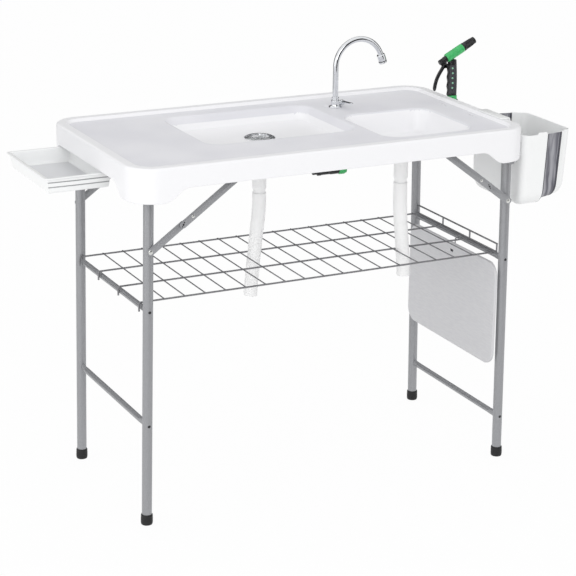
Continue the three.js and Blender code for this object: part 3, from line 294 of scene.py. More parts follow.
def bar_outline(start, end, half):
    """Gives a function of an inset: the outline of a flat bar with round ends, as pairs."""
    start, end = np.asarray(start, float), np.asarray(end, float)
    heading = math.atan2(*(end - start)[::-1])

    def outline(inset):
        angle = np.linspace(0, np.pi, 11)
        ends = [(start, heading + np.pi / 2), (end, heading - np.pi / 2)]
        return np.concatenate([
            centre + (half - inset) * np.stack([np.cos(angle + first), np.sin(angle + first)], -1)
            for centre, first in ends])
    return outline


def soft_levels(low, high, edge, steps=3):
    """Pairs of (height, inset) for a plate whose two rims are rounded by edge."""
    angle = np.linspace(0, np.pi / 2, steps + 1)
    rise, inset = edge * (1 - np.cos(angle)), edge * (1 - np.sin(angle))
    below = np.stack([low + rise, inset], -1)
    above = np.stack([high - rise, inset], -1)[::-1]
    return np.concatenate([below, above])


def stacked(outline, levels, axis="z", at=(0, 0)):
    """An outline at each (height, inset) level, as rows of a grid. The outline's pairs lie along
    X and Y for axis z, along Y and Z for x, and along X and Z for y."""
    rows = []
    for height, inset in levels:
        pairs = outline(inset) + np.asarray(at, float)
        flat = np.full(len(pairs), float(height))
        order = {"z": (pairs[:, 0], pairs[:, 1], flat), "x": (flat, pairs[:, 0], pairs[:, 1]),
                 "y": (pairs[:, 0], flat, pairs[:, 1])}[axis]
        rows.append(np.stack(order, axis=-1))
    return np.stack(rows)


def curve_through(points):
    """A smooth curve through the points: on each stretch the Catmull-Rom cubic of its neighbours,
    in eight steps."""
    points = np.asarray(points, float)
    ends = np.concatenate([2 * points[:1] - points[1:2], points, 2 * points[-1:] - points[-2:-1]])
    t = (np.arange(8) / 8)[None, :, None]
    a, b, c, d = (ends[k:len(ends) - 3 + k, None, :] for k in range(4))
    curve = 0.5 * (2 * b + (c - a) * t + (2 * a - 5 * b + 4 * c - d) * t ** 2
                   + (3 * b - a - 3 * c + d) * t ** 3)
    return np.concatenate([curve.reshape(-1, 3), points[-1:]])


def along(path, count):
    """The path again at evenly spaced points, and its length."""
    path = np.asarray(path, float)
    run = np.concatenate([[0], np.cumsum(np.linalg.norm(np.diff(path, axis=0), axis=1))])
    at = np.linspace(0, run[-1], count)
    return np.stack([np.interp(at, run, path[:, k]) for k in range(3)], axis=-1), run[-1]


# %% [markdown]
# Each finish starts from what the real material is. Colours are written as the hex values that a
# picture would show, and one function turns them to linear light. A second small function adds any
# node to a material, sets its values and links its inputs. The third makes a whole finish: one
# noise on Object coordinates raises the grain, and it can also move the roughness and the colour.

# %% Colour and node helpers
def linear(hex_colour):
    """#rrggbb as linear red, green, blue and alpha, by the sRGB curve."""
    value = np.array([int(hex_colour[k:k + 2], 16) for k in (1, 3, 5)]) / 255
    light = np.where(value <= 0.04045, value / 12.92, ((value + 0.055) / 1.055) ** 2.4)
    return (*light.tolist(), 1.0)


def add_node(material, kind, links=None, **settings):
    """Adds a node. Settings are the node's own, or an input's value where they name an input with
    underscores for spaces. Links give each input the output that feeds it."""
    node = material.node_tree.nodes.new(kind)
    named = {s.name.replace(" ", "_"): s for s in list(node.inputs)[::-1]}
    for key, value in settings.items():
        if key in named:
            named[key].default_value = value
        else:
            setattr(node, key, value)
    for key, output in (links or {}).items():
        socket = node.inputs[key] if isinstance(key, int) else named[key]
        material.node_tree.links.new(output, socket)
    return node


def finish(name, colour, roughness, grain, colours=None, gloss=None, patches=None,
           span=(0.35, 0.65), stretch=(1, 1, 1), detail=2.0, **shader):
    """A new material. Grain is how many millimetres across and how high its lumps are. The colour
    goes between the two colours over the span of the noise, or of a second noise, whose patches
    are given as millimetres and detail, and the roughness between the two of gloss. Other values
    are set on the shader's own sockets."""
    material = bpy.data.materials.new(name)
    material.use_nodes = True
    link = material.node_tree.links.new
    bsdf = material.node_tree.nodes["Principled BSDF"]
    bsdf.inputs["Base Color"].default_value = linear(colour)
    bsdf.inputs["Roughness"].default_value = roughness
    for key, value in shader.items():
        bsdf.inputs[key.replace("_", " ")].default_value = value
    place = add_node(material, "ShaderNodeTexCoord").outputs["Object"]
    place = add_node(material, "ShaderNodeMapping", {"Vector": place}, Scale=stretch).outputs["Vector"]

    def noise(size_mm, noise_detail):
        return add_node(material, "ShaderNodeTexNoise", {"Vector": place},
                        Scale=1 / (size_mm * mm), Detail=noise_detail).outputs["Fac"]

    size_mm, depth_mm = grain
    lumps = noise(size_mm, detail)
    bump = add_node(material, "ShaderNodeBump", {"Height": lumps}, Strength=1.0, Distance=depth_mm * mm)
    link(bump.outputs["Normal"], bsdf.inputs["Normal"])
    if colours:
        ramp = add_node(material, "ShaderNodeValToRGB", {"Fac": noise(*patches) if patches else lumps})
        for stop, position, hex_colour in zip(ramp.color_ramp.elements, span, colours):
            stop.position, stop.color = position, linear(hex_colour)
        link(ramp.outputs["Color"], bsdf.inputs["Base Color"])
    if gloss:
        scaled = add_node(material, "ShaderNodeMapRange", {"Value": lumps}, From_Min=span[0],
                          From_Max=span[1], To_Min=gloss[0], To_Max=gloss[1])
        link(scaled.outputs["Result"], bsdf.inputs["Roughness"])
    return material


# %% [markdown]
# Blow-moulded high density polyethylene is white, a little waxy and satin. The skirt, the rim and
# the sink come from a smooth mould and show only a slow orange peel. The deck and the basin come
# from a blasted mould, so they have a fine pebble grain and read slightly greyer. Such pebbles are
# about 0.6 mm across, which is under a pixel here, so they are drawn at 2.4 mm.

# %% Moulded polyethylene
moulded_white = finish("blow_moulded_polyethylene", "#F3F3F5", 0.38, (14, 0.12), gloss=(0.34, 0.44),
                       IOR=1.5)
deck_grain = finish("grained_polyethylene", "#E3E3E7", 0.52, (2.4, 0.16), ("#E0E0E5", "#E6E6EA"),
                    (0.46, 0.6), patches=(160, 1.0), detail=3, IOR=1.5)

# %% [markdown]
# The tray and the bucket are injection-moulded polypropylene: thinner, whiter and glossier than the
# top. The cutting board is a slab of grey-white polyethylene with a faint planed grain along its
# length. The hoses are soft polyethylene, which lets a little light through.

# %% Other white plastics
tray_white = finish("moulded_polypropylene", "#F4F5F5", 0.3, (22, 0.08), IOR=1.49)
tray_floor_grey = finish("textured_polypropylene", "#DCDDDF", 0.5, (1.8, 0.1), IOR=1.49)
# A darker grey for the faces inside the tray's grooves: painted shade.
groove_painted_shade = finish("shaded_polypropylene", "#AEB0B2", 0.5, (22, 0.08), IOR=1.49)
board_white = finish("planed_polyethylene_board", "#D6D6D9", 0.5, (3, 0.05), ("#D0D0D3", "#D6D6D8"),
                     stretch=(1, 0.12, 1), IOR=1.5)
hose_white = finish("soft_polyethylene_hose", "#F8F8F8", 0.36, (9, 0.06), IOR=1.5,
                    Subsurface_Weight=0.15, Subsurface_Radius=(3 * mm, 3 * mm, 3 * mm))

# %% [markdown]
# The frames are steel tube under a grey powder coat. Powder flows as it bakes and leaves a slow
# orange peel, 1 to 2 mm across, with fine metal flake in it, so it is half metallic. The shelf wire
# has a darker, thinner coat. Rivets are zinc plated and catch the light as bright dots.

# %% Steel finishes
powder_coat = finish("powder_coated_steel", "#9FA0A3", 0.38, (2.2, 0.06), ("#97989B", "#A7A8AB"),
                     (0.34, 0.48), patches=(0.8, 0.0), detail=1, Metallic=0.5)
wire_coat = finish("coated_wire", "#8D8D90", 0.36, (3, 0.08), ("#7F7F82", "#98989B"), Metallic=0.6)
zinc = finish("zinc_plated_rivet", "#E4E5E2", 0.28, (1.2, 0.03), gloss=(0.2, 0.36), Metallic=1.0)
dark_rivet = finish("blackened_rivet", "#3A3A3C", 0.4, (1.2, 0.03), Metallic=0.6)
weld_metal = finish("coated_weld_bead", "#6C6C6E", 0.45, (1.0, 0.06), Metallic=0.5)
chrome = finish("polished_chrome", "#E2E4E7", 0.05, (30, 0.02), gloss=(0.03, 0.1), Metallic=1.0)
strainer_steel = finish("pressed_stainless_steel", "#CFD1D3", 0.24, (5, 0.03), gloss=(0.18, 0.32),
                        Metallic=1.0)

# %% [markdown]
# The caps under the feet are soft black vinyl. The sprayer is glossy green and satin black ABS with
# a softer grey grip panel and pale green beads. The folding band of the bucket is a soft grey
# thermoplastic rubber, with lighter streaks painted along its creases as a painted highlight, and its edges
# are darker.

# %% Dark and coloured plastics
cap_vinyl = finish("black_vinyl", "#141416", 0.55, (2, 0.08), IOR=1.5)
# This black also makes the dark discs for the drain baskets' holes, as painted shade.
black_abs = finish("black_abs", "#18181B", 0.32, (6, 0.05), IOR=1.53)
# This grey also lines the hole through the cutting board, as painted shade.
grip_rubber_and_hole_shade = finish("grey_grip_rubber", "#3C3C41", 0.6, (1.2, 0.12), IOR=1.5)
green_abs = finish("green_abs", "#3FB566", 0.28, (8, 0.06), ("#3AAE60", "#48BE70"), IOR=1.53)
bead_green = finish("pale_green_bead", "#8FC7A9", 0.3, (2, 0.03), IOR=1.5)
# The lighter stops of this ramp run in streaks along the band's creases: painted highlight.
band_rubber_and_sheen = finish("folding_band_rubber", "#77777F", 0.5, (26, 0.5), ("#62626B", "#A2A2A8"),
                     span=(0.4, 0.62), stretch=(2.2, 1, 0.16), IOR=1.5)
band_edge = finish("band_edge_rubber", "#4A4A52", 0.5, (3, 0.06), IOR=1.5)
print(len(bpy.data.materials), "finishes")

# %% [markdown]
# The table top.
# One grid covers the whole top face. Its corner cells are bent onto quarter circles: a point of a
# square corner at (a, b) goes to the radius max(a, b) and to an angle that is the ratio of the
# smaller to the larger, so lines of the grid run parallel to the edge right round the corner. The
# height is then a function of how far a point lies in from the edge and inside each bowl. A second
# grid with the same columns makes the underside, and rings of points join the two by way of the
# rounded edge and the skirt.

# %% Sizes of the top
top = Size(half_x=585.0, half_y=313.0, corner=75.0, height=993.0, deck=985.0, under=965.0,
           rim=34.0, slope=7.0, wall=10.0, round=7.0, lip=3.0,
           middle_edge=936.0, corner_edge=901.0, block=84.0, curve=68.0,
           tray_block=62.0, tray_curve=10.0)
basin = Size(x=-63.0, y=57.0, half_x=227.0, half_y=168.5, radius=48.0, depth=38.0, slope=24.0)
sink = Size(x=321.0, y=-87.0, half_x=139.0, half_y=145.0, radius=52.0, depth=64.0, slope=27.0)
BOWL_WALL, BOWL_LIP = 5.0, 3.0
knife_slots = Size(x=535.0, half_x=2.75, half_y=19.0, y=(70.0, -81.0))
drain_places = {"left": (-63.0, 57.0, 947.0, 790.0), "right": (307.0, -87.0, 921.0, 815.0)}
DRAIN_CUT = 22.0
dimple = Size(places=((207.0, 179.0), (283.0, 188.0)), radius=11.0, edge=5.0, depth=2.5,
              stretch_x=(194.0, 296.0), stretch_y=(166.0, 200.0))
COARSE, FINE, LEAST = 12, 2.5, 0.35


def grid_lines(half, insets, dense):
    """Line places along one side: at each inset from both ends, COARSE apart between them, FINE
    apart in each dense stretch, and no two closer than LEAST."""
    edge = half - np.asarray(insets, float)
    lines = [edge, -edge, np.linspace(-edge[-1], edge[-1], int(2 * edge[-1] / COARSE))]
    lines += [np.arange(low, high + 0.1, FINE) for low, high in dense]
    lines = np.unique(np.round(np.concatenate(lines), 2))
    return lines[np.concatenate([[True], np.diff(lines) > LEAST])]


def bent_corner(x, y, inset):
    """Grid places as places on the top: straight where they lie between the corners, and the
    corner squares bent onto quarter circles, all drawn in so that the edge is at the inset."""
    corner, reach = top.corner, top.corner - inset
    a = np.clip((np.abs(x) - (top.half_x - corner)) / corner, 0, None)
    b = np.clip((np.abs(y) - (top.half_y - corner)) / corner, 0, None)
    radius = np.maximum(a, b)
    ratio = np.minimum(a, b) / np.where(radius > 0, radius, 1)
    angle = np.where(a >= b, np.pi / 4 * ratio, np.pi / 2 - np.pi / 4 * ratio)
    along_x = np.minimum(np.abs(x), top.half_x - corner) + reach * radius * np.cos(angle) * (a + b > 0)
    along_y = np.minimum(np.abs(y), top.half_y - corner) + reach * radius * np.sin(angle) * (a + b > 0)
    along_x = np.where((a == 0) & (b > 0), np.abs(x), along_x)
    along_y = np.where((b == 0) & (a > 0), np.abs(y), along_y)
    return np.sign(x) * along_x, np.sign(y) * along_y


def depth_inside(x, y, half_x, half_y, radius):
    """How far a point lies inside a rounded rectangle round zero; negative outside it."""
    a, b = np.abs(x) - (half_x - radius), np.abs(y) - (half_y - radius)
    outside = np.hypot(np.maximum(a, 0), np.maximum(b, 0)) + np.minimum(np.maximum(a, b), 0)
    return radius - outside


def bowl_drop(x, y, bowl, grow=0.0):
    """How far a bowl sinks at a point: nothing outside its lip, its depth on the floor, and a slope
    with soft ends between, so the lip and the foot of the wall are rounded."""
    inside = depth_inside(x - bowl.x, y - bowl.y, bowl.half_x + grow,
                          bowl.half_y + grow, bowl.radius + grow)
    share = np.clip((inside + BOWL_LIP) / (bowl.slope + BOWL_LIP), 0, 1)
    return bowl.depth * share ** 2 * (3 - 2 * share)


def top_height(x, y):
    """The top face: the rim, its inner slope, the deck, the two bowls and the two dimples."""
    inside = depth_inside(x, y, top.half_x, top.half_y, top.corner)
    rim = eased((top.rim - inside) / top.slope)
    height = top.deck + (top.height - top.deck) * rim
    height = height - bowl_drop(x, y, basin) - bowl_drop(x, y, sink)
    for place_x, place_y in dimple.places:
        away = np.hypot(x - place_x, y - place_y)
        height = height - dimple.depth * eased((dimple.radius - away) / dimple.edge)
    return height


def under_height(x, y):
    """The underside: level, but for the two bowls, which stand below it."""
    lowest = top.under * np.ones_like(x)
    for bowl in (basin, sink):
        outer = top.deck - bowl_drop(x, y, bowl, BOWL_WALL) * (1 + BOWL_WALL / bowl.depth)
        lowest = np.minimum(lowest, outer)
    return lowest


def skirt_edge(x, y):
    """The skirt's lower edge: deep at the corners and raised between them by half a cosine wave.
    The left end has a shorter rise on its back half, where the tray slides in."""
    long_side = eased((top.half_x - top.block - np.abs(x)) / top.curve)
    plain = eased((top.half_y - top.block - np.abs(y)) / top.curve)
    beside_tray = eased((top.half_y - top.tray_block - np.abs(y)) / top.tray_curve)
    short_side = np.where((x < 0) & (y > 0), beside_tray, plain)
    rise = np.maximum(long_side, short_side)
    return top.corner_edge + (top.middle_edge - top.corner_edge) * rise


# %% Grid of the top
EDGE_INSETS = [0, 2, 5, 9, 13, 17, 20, 22.5, 25, 27, 28.5, 30, 31.5, 33, 34.5, 37, 41, 46, 52, 60, 68, 75]


def bowl_bands(middle, half, slope):
    """The two stretches of line places that cover a bowl's sloping walls along one axis."""
    low, high = middle - half, middle + half
    return [(low - 4, low + slope + 2), (high - slope - 2, high + 4)]


def edges_of(middle, half):
    """A pair of lines just outside and just on each edge of a cut."""
    return [(middle - half - 0.8, middle - half - 0.8), (middle - half, middle - half),
            (middle + half, middle + half), (middle + half + 0.8, middle + half + 0.8)]


dense_x, dense_y = [], []
for bowl in (basin, sink):
    dense_x += bowl_bands(bowl.x, bowl.half_x, bowl.slope)
    dense_y += bowl_bands(bowl.y, bowl.half_y, bowl.slope)
dense_x += edges_of(knife_slots.x, knife_slots.half_x)
for slot_y in knife_slots.y:
    dense_y += edges_of(slot_y, knife_slots.half_y)
for drain_x, drain_y, _, _ in drain_places.values():
    dense_x += edges_of(drain_x, DRAIN_CUT)
    dense_y += edges_of(drain_y, DRAIN_CUT)
dense_x.append(dimple.stretch_x)
dense_y.append(dimple.stretch_y)
lines_x = grid_lines(top.half_x, EDGE_INSETS, dense_x)
lines_y = grid_lines(top.half_y, EDGE_INSETS, dense_y)
plain_x, plain_y = np.meshgrid(lines_x, lines_y, indexing="ij")
print("top grid", plain_x.shape)

face_x, face_y = bent_corner(plain_x, plain_y, top.round)
top_face = np.stack([face_x, face_y, top_height(face_x, face_y)], axis=-1)
low_x, low_y = bent_corner(plain_x, plain_y, top.wall)
under_face = np.stack([low_x, low_y, under_height(low_x, low_y)], axis=-1)


def border(array):
    """The values along a grid's border, once round."""
    return np.concatenate([array[:-1, 0], array[-1, :-1], array[:0:-1, -1], array[0, :0:-1]])


# %% Edge, skirt and the cut-outs
# A ring lies HOLD beyond the end of each curve, so that the flat part beside it stays flat.
HOLD = 1.5
ring_x, ring_y = border(plain_x), border(plain_y)
quarter = np.linspace(0, np.pi / 2, 6)
rings = []


def add_ring(inset, height):
    """One ring of the edge: the outline drawn in by inset, at a height that may vary round it."""
    x, y = bent_corner(ring_x, ring_y, inset)
    rings.append(np.stack([x, y, height * np.ones_like(x)], axis=-1))


outer_x, outer_y = bent_corner(ring_x, ring_y, 0)
lower = skirt_edge(outer_x, outer_y)
for angle in quarter:
    add_ring(top.round * (1 - math.sin(angle)), top.height - top.round * (1 - math.cos(angle)))
add_ring(0, top.height - top.round - HOLD)
add_ring(0, lower + top.lip + HOLD)
for angle in quarter[::-1]:
    add_ring(top.lip * (1 - math.sin(angle)), lower + top.lip * (1 - math.cos(angle)))
for angle in quarter:
    add_ring(top.wall - top.lip * (1 - math.sin(angle)), lower + top.lip * (1 - math.cos(angle)))
add_ring(top.wall, lower + top.lip + HOLD)
add_ring(top.wall, top.under - HOLD)
add_ring(top.wall, top.under)


def cut_cells(low_xy, high_xy):
    """Which grid cells lie inside a rectangle on the top."""
    middle_x = (plain_x[:-1, :-1] + plain_x[1:, 1:]) / 2
    middle_y = (plain_y[:-1, :-1] + plain_y[1:, 1:]) / 2
    return ((middle_x > low_xy[0]) & (middle_x < high_xy[0])
            & (middle_y > low_xy[1]) & (middle_y < high_xy[1]))


cuts = [cut_cells((knife_slots.x - knife_slots.half_x, y - knife_slots.half_y),
                  (knife_slots.x + knife_slots.half_x, y + knife_slots.half_y))
        for y in knife_slots.y]
cuts += [cut_cells((x - DRAIN_CUT, y - DRAIN_CUT), (x + DRAIN_CUT, y + DRAIN_CUT))
         for x, y, _, _ in drain_places.values()]
cut = np.logical_or.reduce(cuts)
cells = grid_faces(*plain_x.shape, False, 0)
kept = cells[~cut.ravel()]
count = plain_x.size
parts = [kept, kept[:, ::-1] + count]
for hole in cuts:
    i, j = np.nonzero(hole)
    i0, i1, j0, j1 = i.min(), i.max() + 1, j.min(), j.max() + 1
    number = np.arange(count).reshape(plain_x.shape)[i0:i1 + 1, j0:j1 + 1]
    loop = border(number)
    after = np.roll(loop, -1)
    parts.append(np.stack([loop, after, after + count, loop + count], axis=-1))
parts.append(grid_faces(len(rings), len(ring_x), True, 2 * count))
top_points = np.concatenate([top_face.reshape(-1, 3), under_face.reshape(-1, 3), np.concatenate(rings)])
top_mesh = mesh_of("moulded_top", in_frame(top_points), np.concatenate(parts))
settle("moulded_top", top_mesh, [moulded_white, deck_grain], "table",
       ["table_top", "basin_bowl", "sink_bowl"])

# The grain covers what faces up inside the rim, down to GRAIN_DROP inside the sink.
FACES_UP, GRAIN_DROP = 0.3, 4
middle, facing = face_places(top_mesh)
x, y, z = middle.T
on_deck = ((depth_inside(x, y, top.half_x, top.half_y, top.corner) > top.rim)
           & (facing[:, 2] > FACES_UP) & (z > top.under) & (bowl_drop(x, y, sink) < GRAIN_DROP))
top_mesh.polygons.foreach_set("material_index", on_deck.astype(np.int32))
print("top faces", len(top_mesh.polygons), "of them deck", int(on_deck.sum()))

# %% [markdown]
# Drains.
# Each bowl has a stainless flange with a lift-out basket. Below the bowl a white nut and cup narrow
# to a neck, which ends in a short pinch, and the ribbed hose hangs from there. All of them are
# profiles turned about the vertical. The holes of the basket are too small to show from any view
# but the closest, so they are thin dark discs on its floor: painted shade where the holes would be.

# %% Drain fittings
strainer = Size(bore=31.0, barrel=34.0, drop=24.0, flange=44.0, rise=2.5, basket=28.0, basket_rim=37.0,
                basket_drop=15.0, wall=1.5, hole_circle=18.0, hole=2.4)
tail = Size(nut=42.0, nut_height=12.0, cup=37.0, cup_height=24.0, cone=14.0, neck=19.8, pinch=16.6,
            pinch_height=8.0)
for name, (x, y, floor, neck_low) in drain_places.items():
    s = strainer
    profile = softened([(s.bore, -s.drop), (s.bore, s.rise - 0.6), (s.bore + 2, s.rise),
                        (s.flange - 3, s.rise - 0.4), (s.flange, 0.3), (s.barrel, 0.3),
                        (s.barrel, -s.drop), (s.bore, -s.drop)], 0.8)
    piece(f"drain_flange_{name}", {strainer_steel: [turned(profile, (x, y, floor), count=64)]}, "table",
          [f"strainer_flange_{name}"])

    low = s.rise + 0.3
    bottom = low - s.basket_drop
    inner, outer = s.basket - 2 * s.wall, s.basket
    profile = softened([(0, bottom), (outer - s.wall, bottom), (outer, low), (s.basket_rim, low),
                        (s.basket_rim - 1, low + s.wall), (outer - s.wall, low + s.wall),
                        (inner, bottom + s.wall), (3, bottom + s.wall), (1.5, bottom + 11),
                        (5, bottom + 12), (4.6, bottom + 14.4), (0, bottom + 15)], 0.8)
    # Dark discs on the basket's floor stand in for its holes: painted shade.
    hole = [(0, 0.1), (s.hole, 0.1), (s.hole, 0.25), (0, 0.25)]
    hole_shade_discs = []
    for ring, pips in ((s.hole_circle, 8), (s.hole_circle * 0.55, 6)):
        for angle in 2 * np.pi * np.arange(pips) / pips:
            spot = (x + ring * math.cos(angle), y + ring * math.sin(angle), floor + bottom + s.wall)
            hole_shade_discs.append(turned(hole, spot, count=12))
    piece(f"drain_basket_{name}", {strainer_steel: [turned(profile, (x, y, floor), count=64)],
                                   black_abs: hole_shade_discs},
          f"{name}_strainer", [f"strainer_basket_{name}"])

    t = tail
    high = -BOWL_WALL - 0.3
    nut_low, cup_low = high - t.nut_height, high - t.cup_height
    cone_low = cup_low - t.cone
    neck = neck_low + 0.3 - floor
    profile = softened([(s.barrel + 0.4, high), (t.nut - 1, high), (t.nut - 1, nut_low),
                        (t.cup, nut_low), (t.cup, cup_low), (t.neck, cone_low),
                        (t.neck, neck + t.pinch_height + 6), (t.pinch, neck + t.pinch_height - 1),
                        (t.pinch, neck + 2), (t.neck - 0.6, neck), (t.pinch - 3, neck),
                        (t.pinch - 3, neck + 20), (t.neck - 3, cone_low), (s.barrel + 0.4, cup_low + 3),
                        (s.barrel + 0.4, high)], 2.2)
    lug = shut(stacked(rounded_rectangle(2.0, 3.6, 1.2, 3), soft_levels(nut_low + 1, high - 1, 0.8)))
    lugs = []
    for angle in 2 * np.pi * np.arange(16) / 16:
        about = np.array([[math.cos(angle), math.sin(angle), 0], [-math.sin(angle), math.cos(angle), 0],
                          [0, 0, 1]])
        lugs.append((lug + (t.nut - 2.0, 0, 0)) @ about + (x, y, floor))
    piece(f"drain_nut_and_tail_{name}", {hose_white: [turned(profile, (x, y, floor), count=64), *lugs]},
          "table", [f"drain_tail_{name}"])

# %% [markdown]
# Drain hoses.
# A hose is a fixed length of corrugated tube that hangs under its own weight. Its route is the list
# of points that the frame was built to. A circle is carried along the smooth curve through them, and
# its radius falls by one rib's depth and back every 5 mm, below a plain cuff. Inside, a plain bore
# shows at the cut end.

# %% Hoses and the cords' facts
HOSE_RADIUS, RIB_DEPTH, RIB_PITCH, HOSE_WALL, CUFF = 19.4, 0.8, 5.0, 2.0, 108.0
hose_routes = {
    "left": [(-63, 57, 790), (-63, 57, 771), (-63.4, 57, 750), (-65.6, 57, 720), (-69.2, 57, 690),
             (-73, 57, 655), (-76.8, 57, 620), (-80.4, 57, 585), (-83.4, 57, 552), (-85.6, 57, 530),
             (-87, 57, 511), (-88.2, 57, 492)],
    "right": [(307, -87, 815), (307, -87, 796), (307.2, -87, 776), (308, -87, 750), (309.6, -87, 722),
              (312, -87, 694), (315, -87, 664), (318.2, -87, 634), (321, -87, 604), (323.4, -87, 580),
              (325, -87, 560), (326, -87, 540)],
}
for name, route in hose_routes.items():
    path, length = along(curve_through(route), 1 + 6 * int(round(300 / RIB_PITCH)))
    run = np.linspace(0, length, len(path))
    ribs = (1 - np.cos(2 * np.pi * run / RIB_PITCH)) / 2
    ribs = ribs * eased((run - CUFF) / 8) * eased((length - run) / 12)
    outside = carry((HOSE_RADIUS - RIB_DEPTH * ribs)[:, None, None] * circle(1.0, 40), path)
    bore_path = path[run > length - 45][::-1]
    bore = carry(circle(HOSE_RADIUS - RIB_DEPTH - HOSE_WALL, 40) * (1, -1), bore_path)
    hose = shut(np.concatenate([outside, bore]))
    obj = piece(f"ribbed_hose_{name}", {hose_white: [hose]}, "table",
                [f"drain_hose_{name}"])
    print("hose", name, round(length), "mm")

# %% [markdown]
# Leg frames.
# Each frame is two legs joined by crossbars, hung from a pivot tube under the top and held open by a
# pair of two-part braces. The feet stand 15.5 mm outside the hinge, so every place along a leg is
# one line: a share of that spread out, and the drop down.

# %% Sizes of the frames
BOARD = Size(x=532.0, thickness=9.0, front=-254.0, back=222.0, high=590.0, low=285.0, radius=40.0,
             hole_y=-18.0, hole_drop=20.0, hole=9.0, hook=1.8, hook_drop=26.0)
stands = {
    "left": Size(side=-1, pivot=(-520.0, 925.0), upper=326.0, lower=642.0, brace_drop=163.0,
                 brace_x=240.0, brace_z=935.0),
    "right": Size(side=1, pivot=(552.0, 895.0), upper=292.0, lower=770.0, brace_drop=119.0,
                  brace_x=210.0, brace_z=935.0),
}
leg = Size(radius=13.5, wall=1.3, half_track=245.0, spread=15.5, above=13.0, over_floor=4.6, plug=40.0,
           cap_radius=16.0, cap_height=30.0, cap_floor=8.0)
pivot = Size(radius=9.0, wall=1.6, plug=25.0)
crossbar = Size(upper=7.6, lower=8.2, overlap=1.5, pressed=34.0, fade=20.0, flatten=0.42, widen=0.25,
                groove_at=0.62, groove_width=0.17, groove_depth=1.3)
brace = Size(half=10.0, thickness=2.0, lower_plane=260.3, upper_plane=263.8, pin=4.0, head=6.0,
             rib_start=24.0, rib_half=3.2, bright_rivet=33.0)
rail = Size(plane=268.0, thickness=2.5, flange=22.0, high=964.7, low=927.0, start=-540.0, end=564.0,
            flange_end=540.0, ear=13.0)
SIDES = {"front": -1, "back": 1}


def on_leg(stand, drop, y=0.0):
    """The point on a leg's centre line at a drop below the pivot."""
    x, z = stand.pivot
    return np.array([x + stand.side * leg.spread / z * drop, y, z - drop])


def rod(start, end, radius, count=20, side=(0, 1, 0)):
    """A round bar between two points, its rims slightly rounded."""
    start, end = np.asarray(start, float), np.asarray(end, float)
    along_it = unit(end - start)
    path = [start, start + along_it * radius * 0.12, start + along_it * radius * 0.4,
            end - along_it * radius * 0.4, end - along_it * radius * 0.12, end]
    swell = np.array([0.72, 0.93, 1, 1, 0.93, 0.72])
    return shut(carry(radius * swell[:, None, None] * circle(1.0, count), path, side))


def rivet(centre, side, radius=6.0, height=1.3, steps=5):
    """A low domed rivet head on a face that looks along Y, on the side given as -1 or 1."""
    angle = np.linspace(0, np.pi / 2, steps)
    profile = [(radius, -0.4), *zip(radius * np.cos(angle), height * np.sin(angle))]
    profile[-1] = (0, height)
    return turned(profile, centre, axis=(0, side, 0), count=28)


def brace_points(stand):
    """The brace's foot on the leg, its joint when open, and its head on the side rail. Its two parts
    differ by what lets them lie flat on each other when the leg is folded."""
    foot = on_leg(stand, stand.brace_drop)
    x, z = stand.pivot
    head = np.array([x - stand.side * stand.brace_x, 0, stand.brace_z])
    folded = np.array([x - stand.side * stand.brace_drop, 0, z])
    full = np.linalg.norm(head - foot)
    lower = (full - np.linalg.norm(head - folded)) / 2
    return foot, foot + (head - foot) * lower / full, head


def at_y(point, y):
    """The point moved to a place along Y."""
    return np.array([point[0], y, point[2]])


def cross_pin(point, y0, y1, radius):
    """A round pin along Y, through a point, from one place to another."""
    return rod(at_y(point, y0), at_y(point, y1), radius, side=(1, 0, 0))


# %% Legs and feet
for name, stand in stands.items():
    foot = on_leg(stand, stand.brace_drop)
    pivot_z = stand.pivot[1]
    for where, side in SIDES.items():
        y = side * leg.half_track
        low, high = on_leg(stand, pivot_z - leg.over_floor, y), on_leg(stand, -leg.above, y)
        length = np.linalg.norm(high - low)
        r, bore, plug = leg.radius, leg.radius - leg.wall, length - leg.plug
        profile = softened([(0, 0), (r, 0), (r, length), (bore, length), (bore, plug), (0, plug)], 0.5)
        tube = turned(profile, low, axis=high - low, count=48)
        pin_end = side * (brace.lower_plane + brace.thickness)
        pin = cross_pin(foot, y, pin_end, brace.pin)
        heads = [rivet(at_y(foot, pin_end), side)]
        for drop in (stand.upper, stand.lower):
            heads.append(rivet(on_leg(stand, drop, y + side * (r - 0.5)), side, 4.2, 1.6))
        piece(f"{name}_tube_leg_{where}", {powder_coat: [tube, pin], zinc: heads[:1], dark_rivet: heads[1:]},
              f"{name}_legs", [f"{name}_leg_{where}"])

        axis = unit(high - low)
        start = on_leg(stand, pivot_z + 1, y)
        c, tall, inside = leg.cap_radius, leg.cap_height, leg.cap_floor
        profile = softened([(0, 0), (c - 1.6, 0), (c, 4), (c, tall - 3), (c - 1, tall),
                            (r + 0.3, tall + 0.4), (r + 0.3, inside), (0, inside)], 1.6, 4)
        cap = turned(profile, start, axis=axis, count=48)
        cap[..., 2] = np.maximum(cap[..., 2], 0)
        rings = [turned([(c - 0.4, k), (c + 0.35, k + 0.7), (c + 0.35, k + 1.5), (c - 0.4, k + 2.2)],
                        start, axis=axis, count=48) for k in (8.0, 12.5, 17.0)]
        piece(f"{name}_vinyl_cap_{where}", {cap_vinyl: [cap, *rings]}, f"{name}_legs",
              [f"{name}_foot_{where}"])

# %% [markdown]
# The pivot tube runs right across and ends flush with the side rails. The crossbars are tube too.
# Their ends are pressed flat where they meet the legs, and the upper ones have two lengthwise
# grooves rolled into the side that faces out.

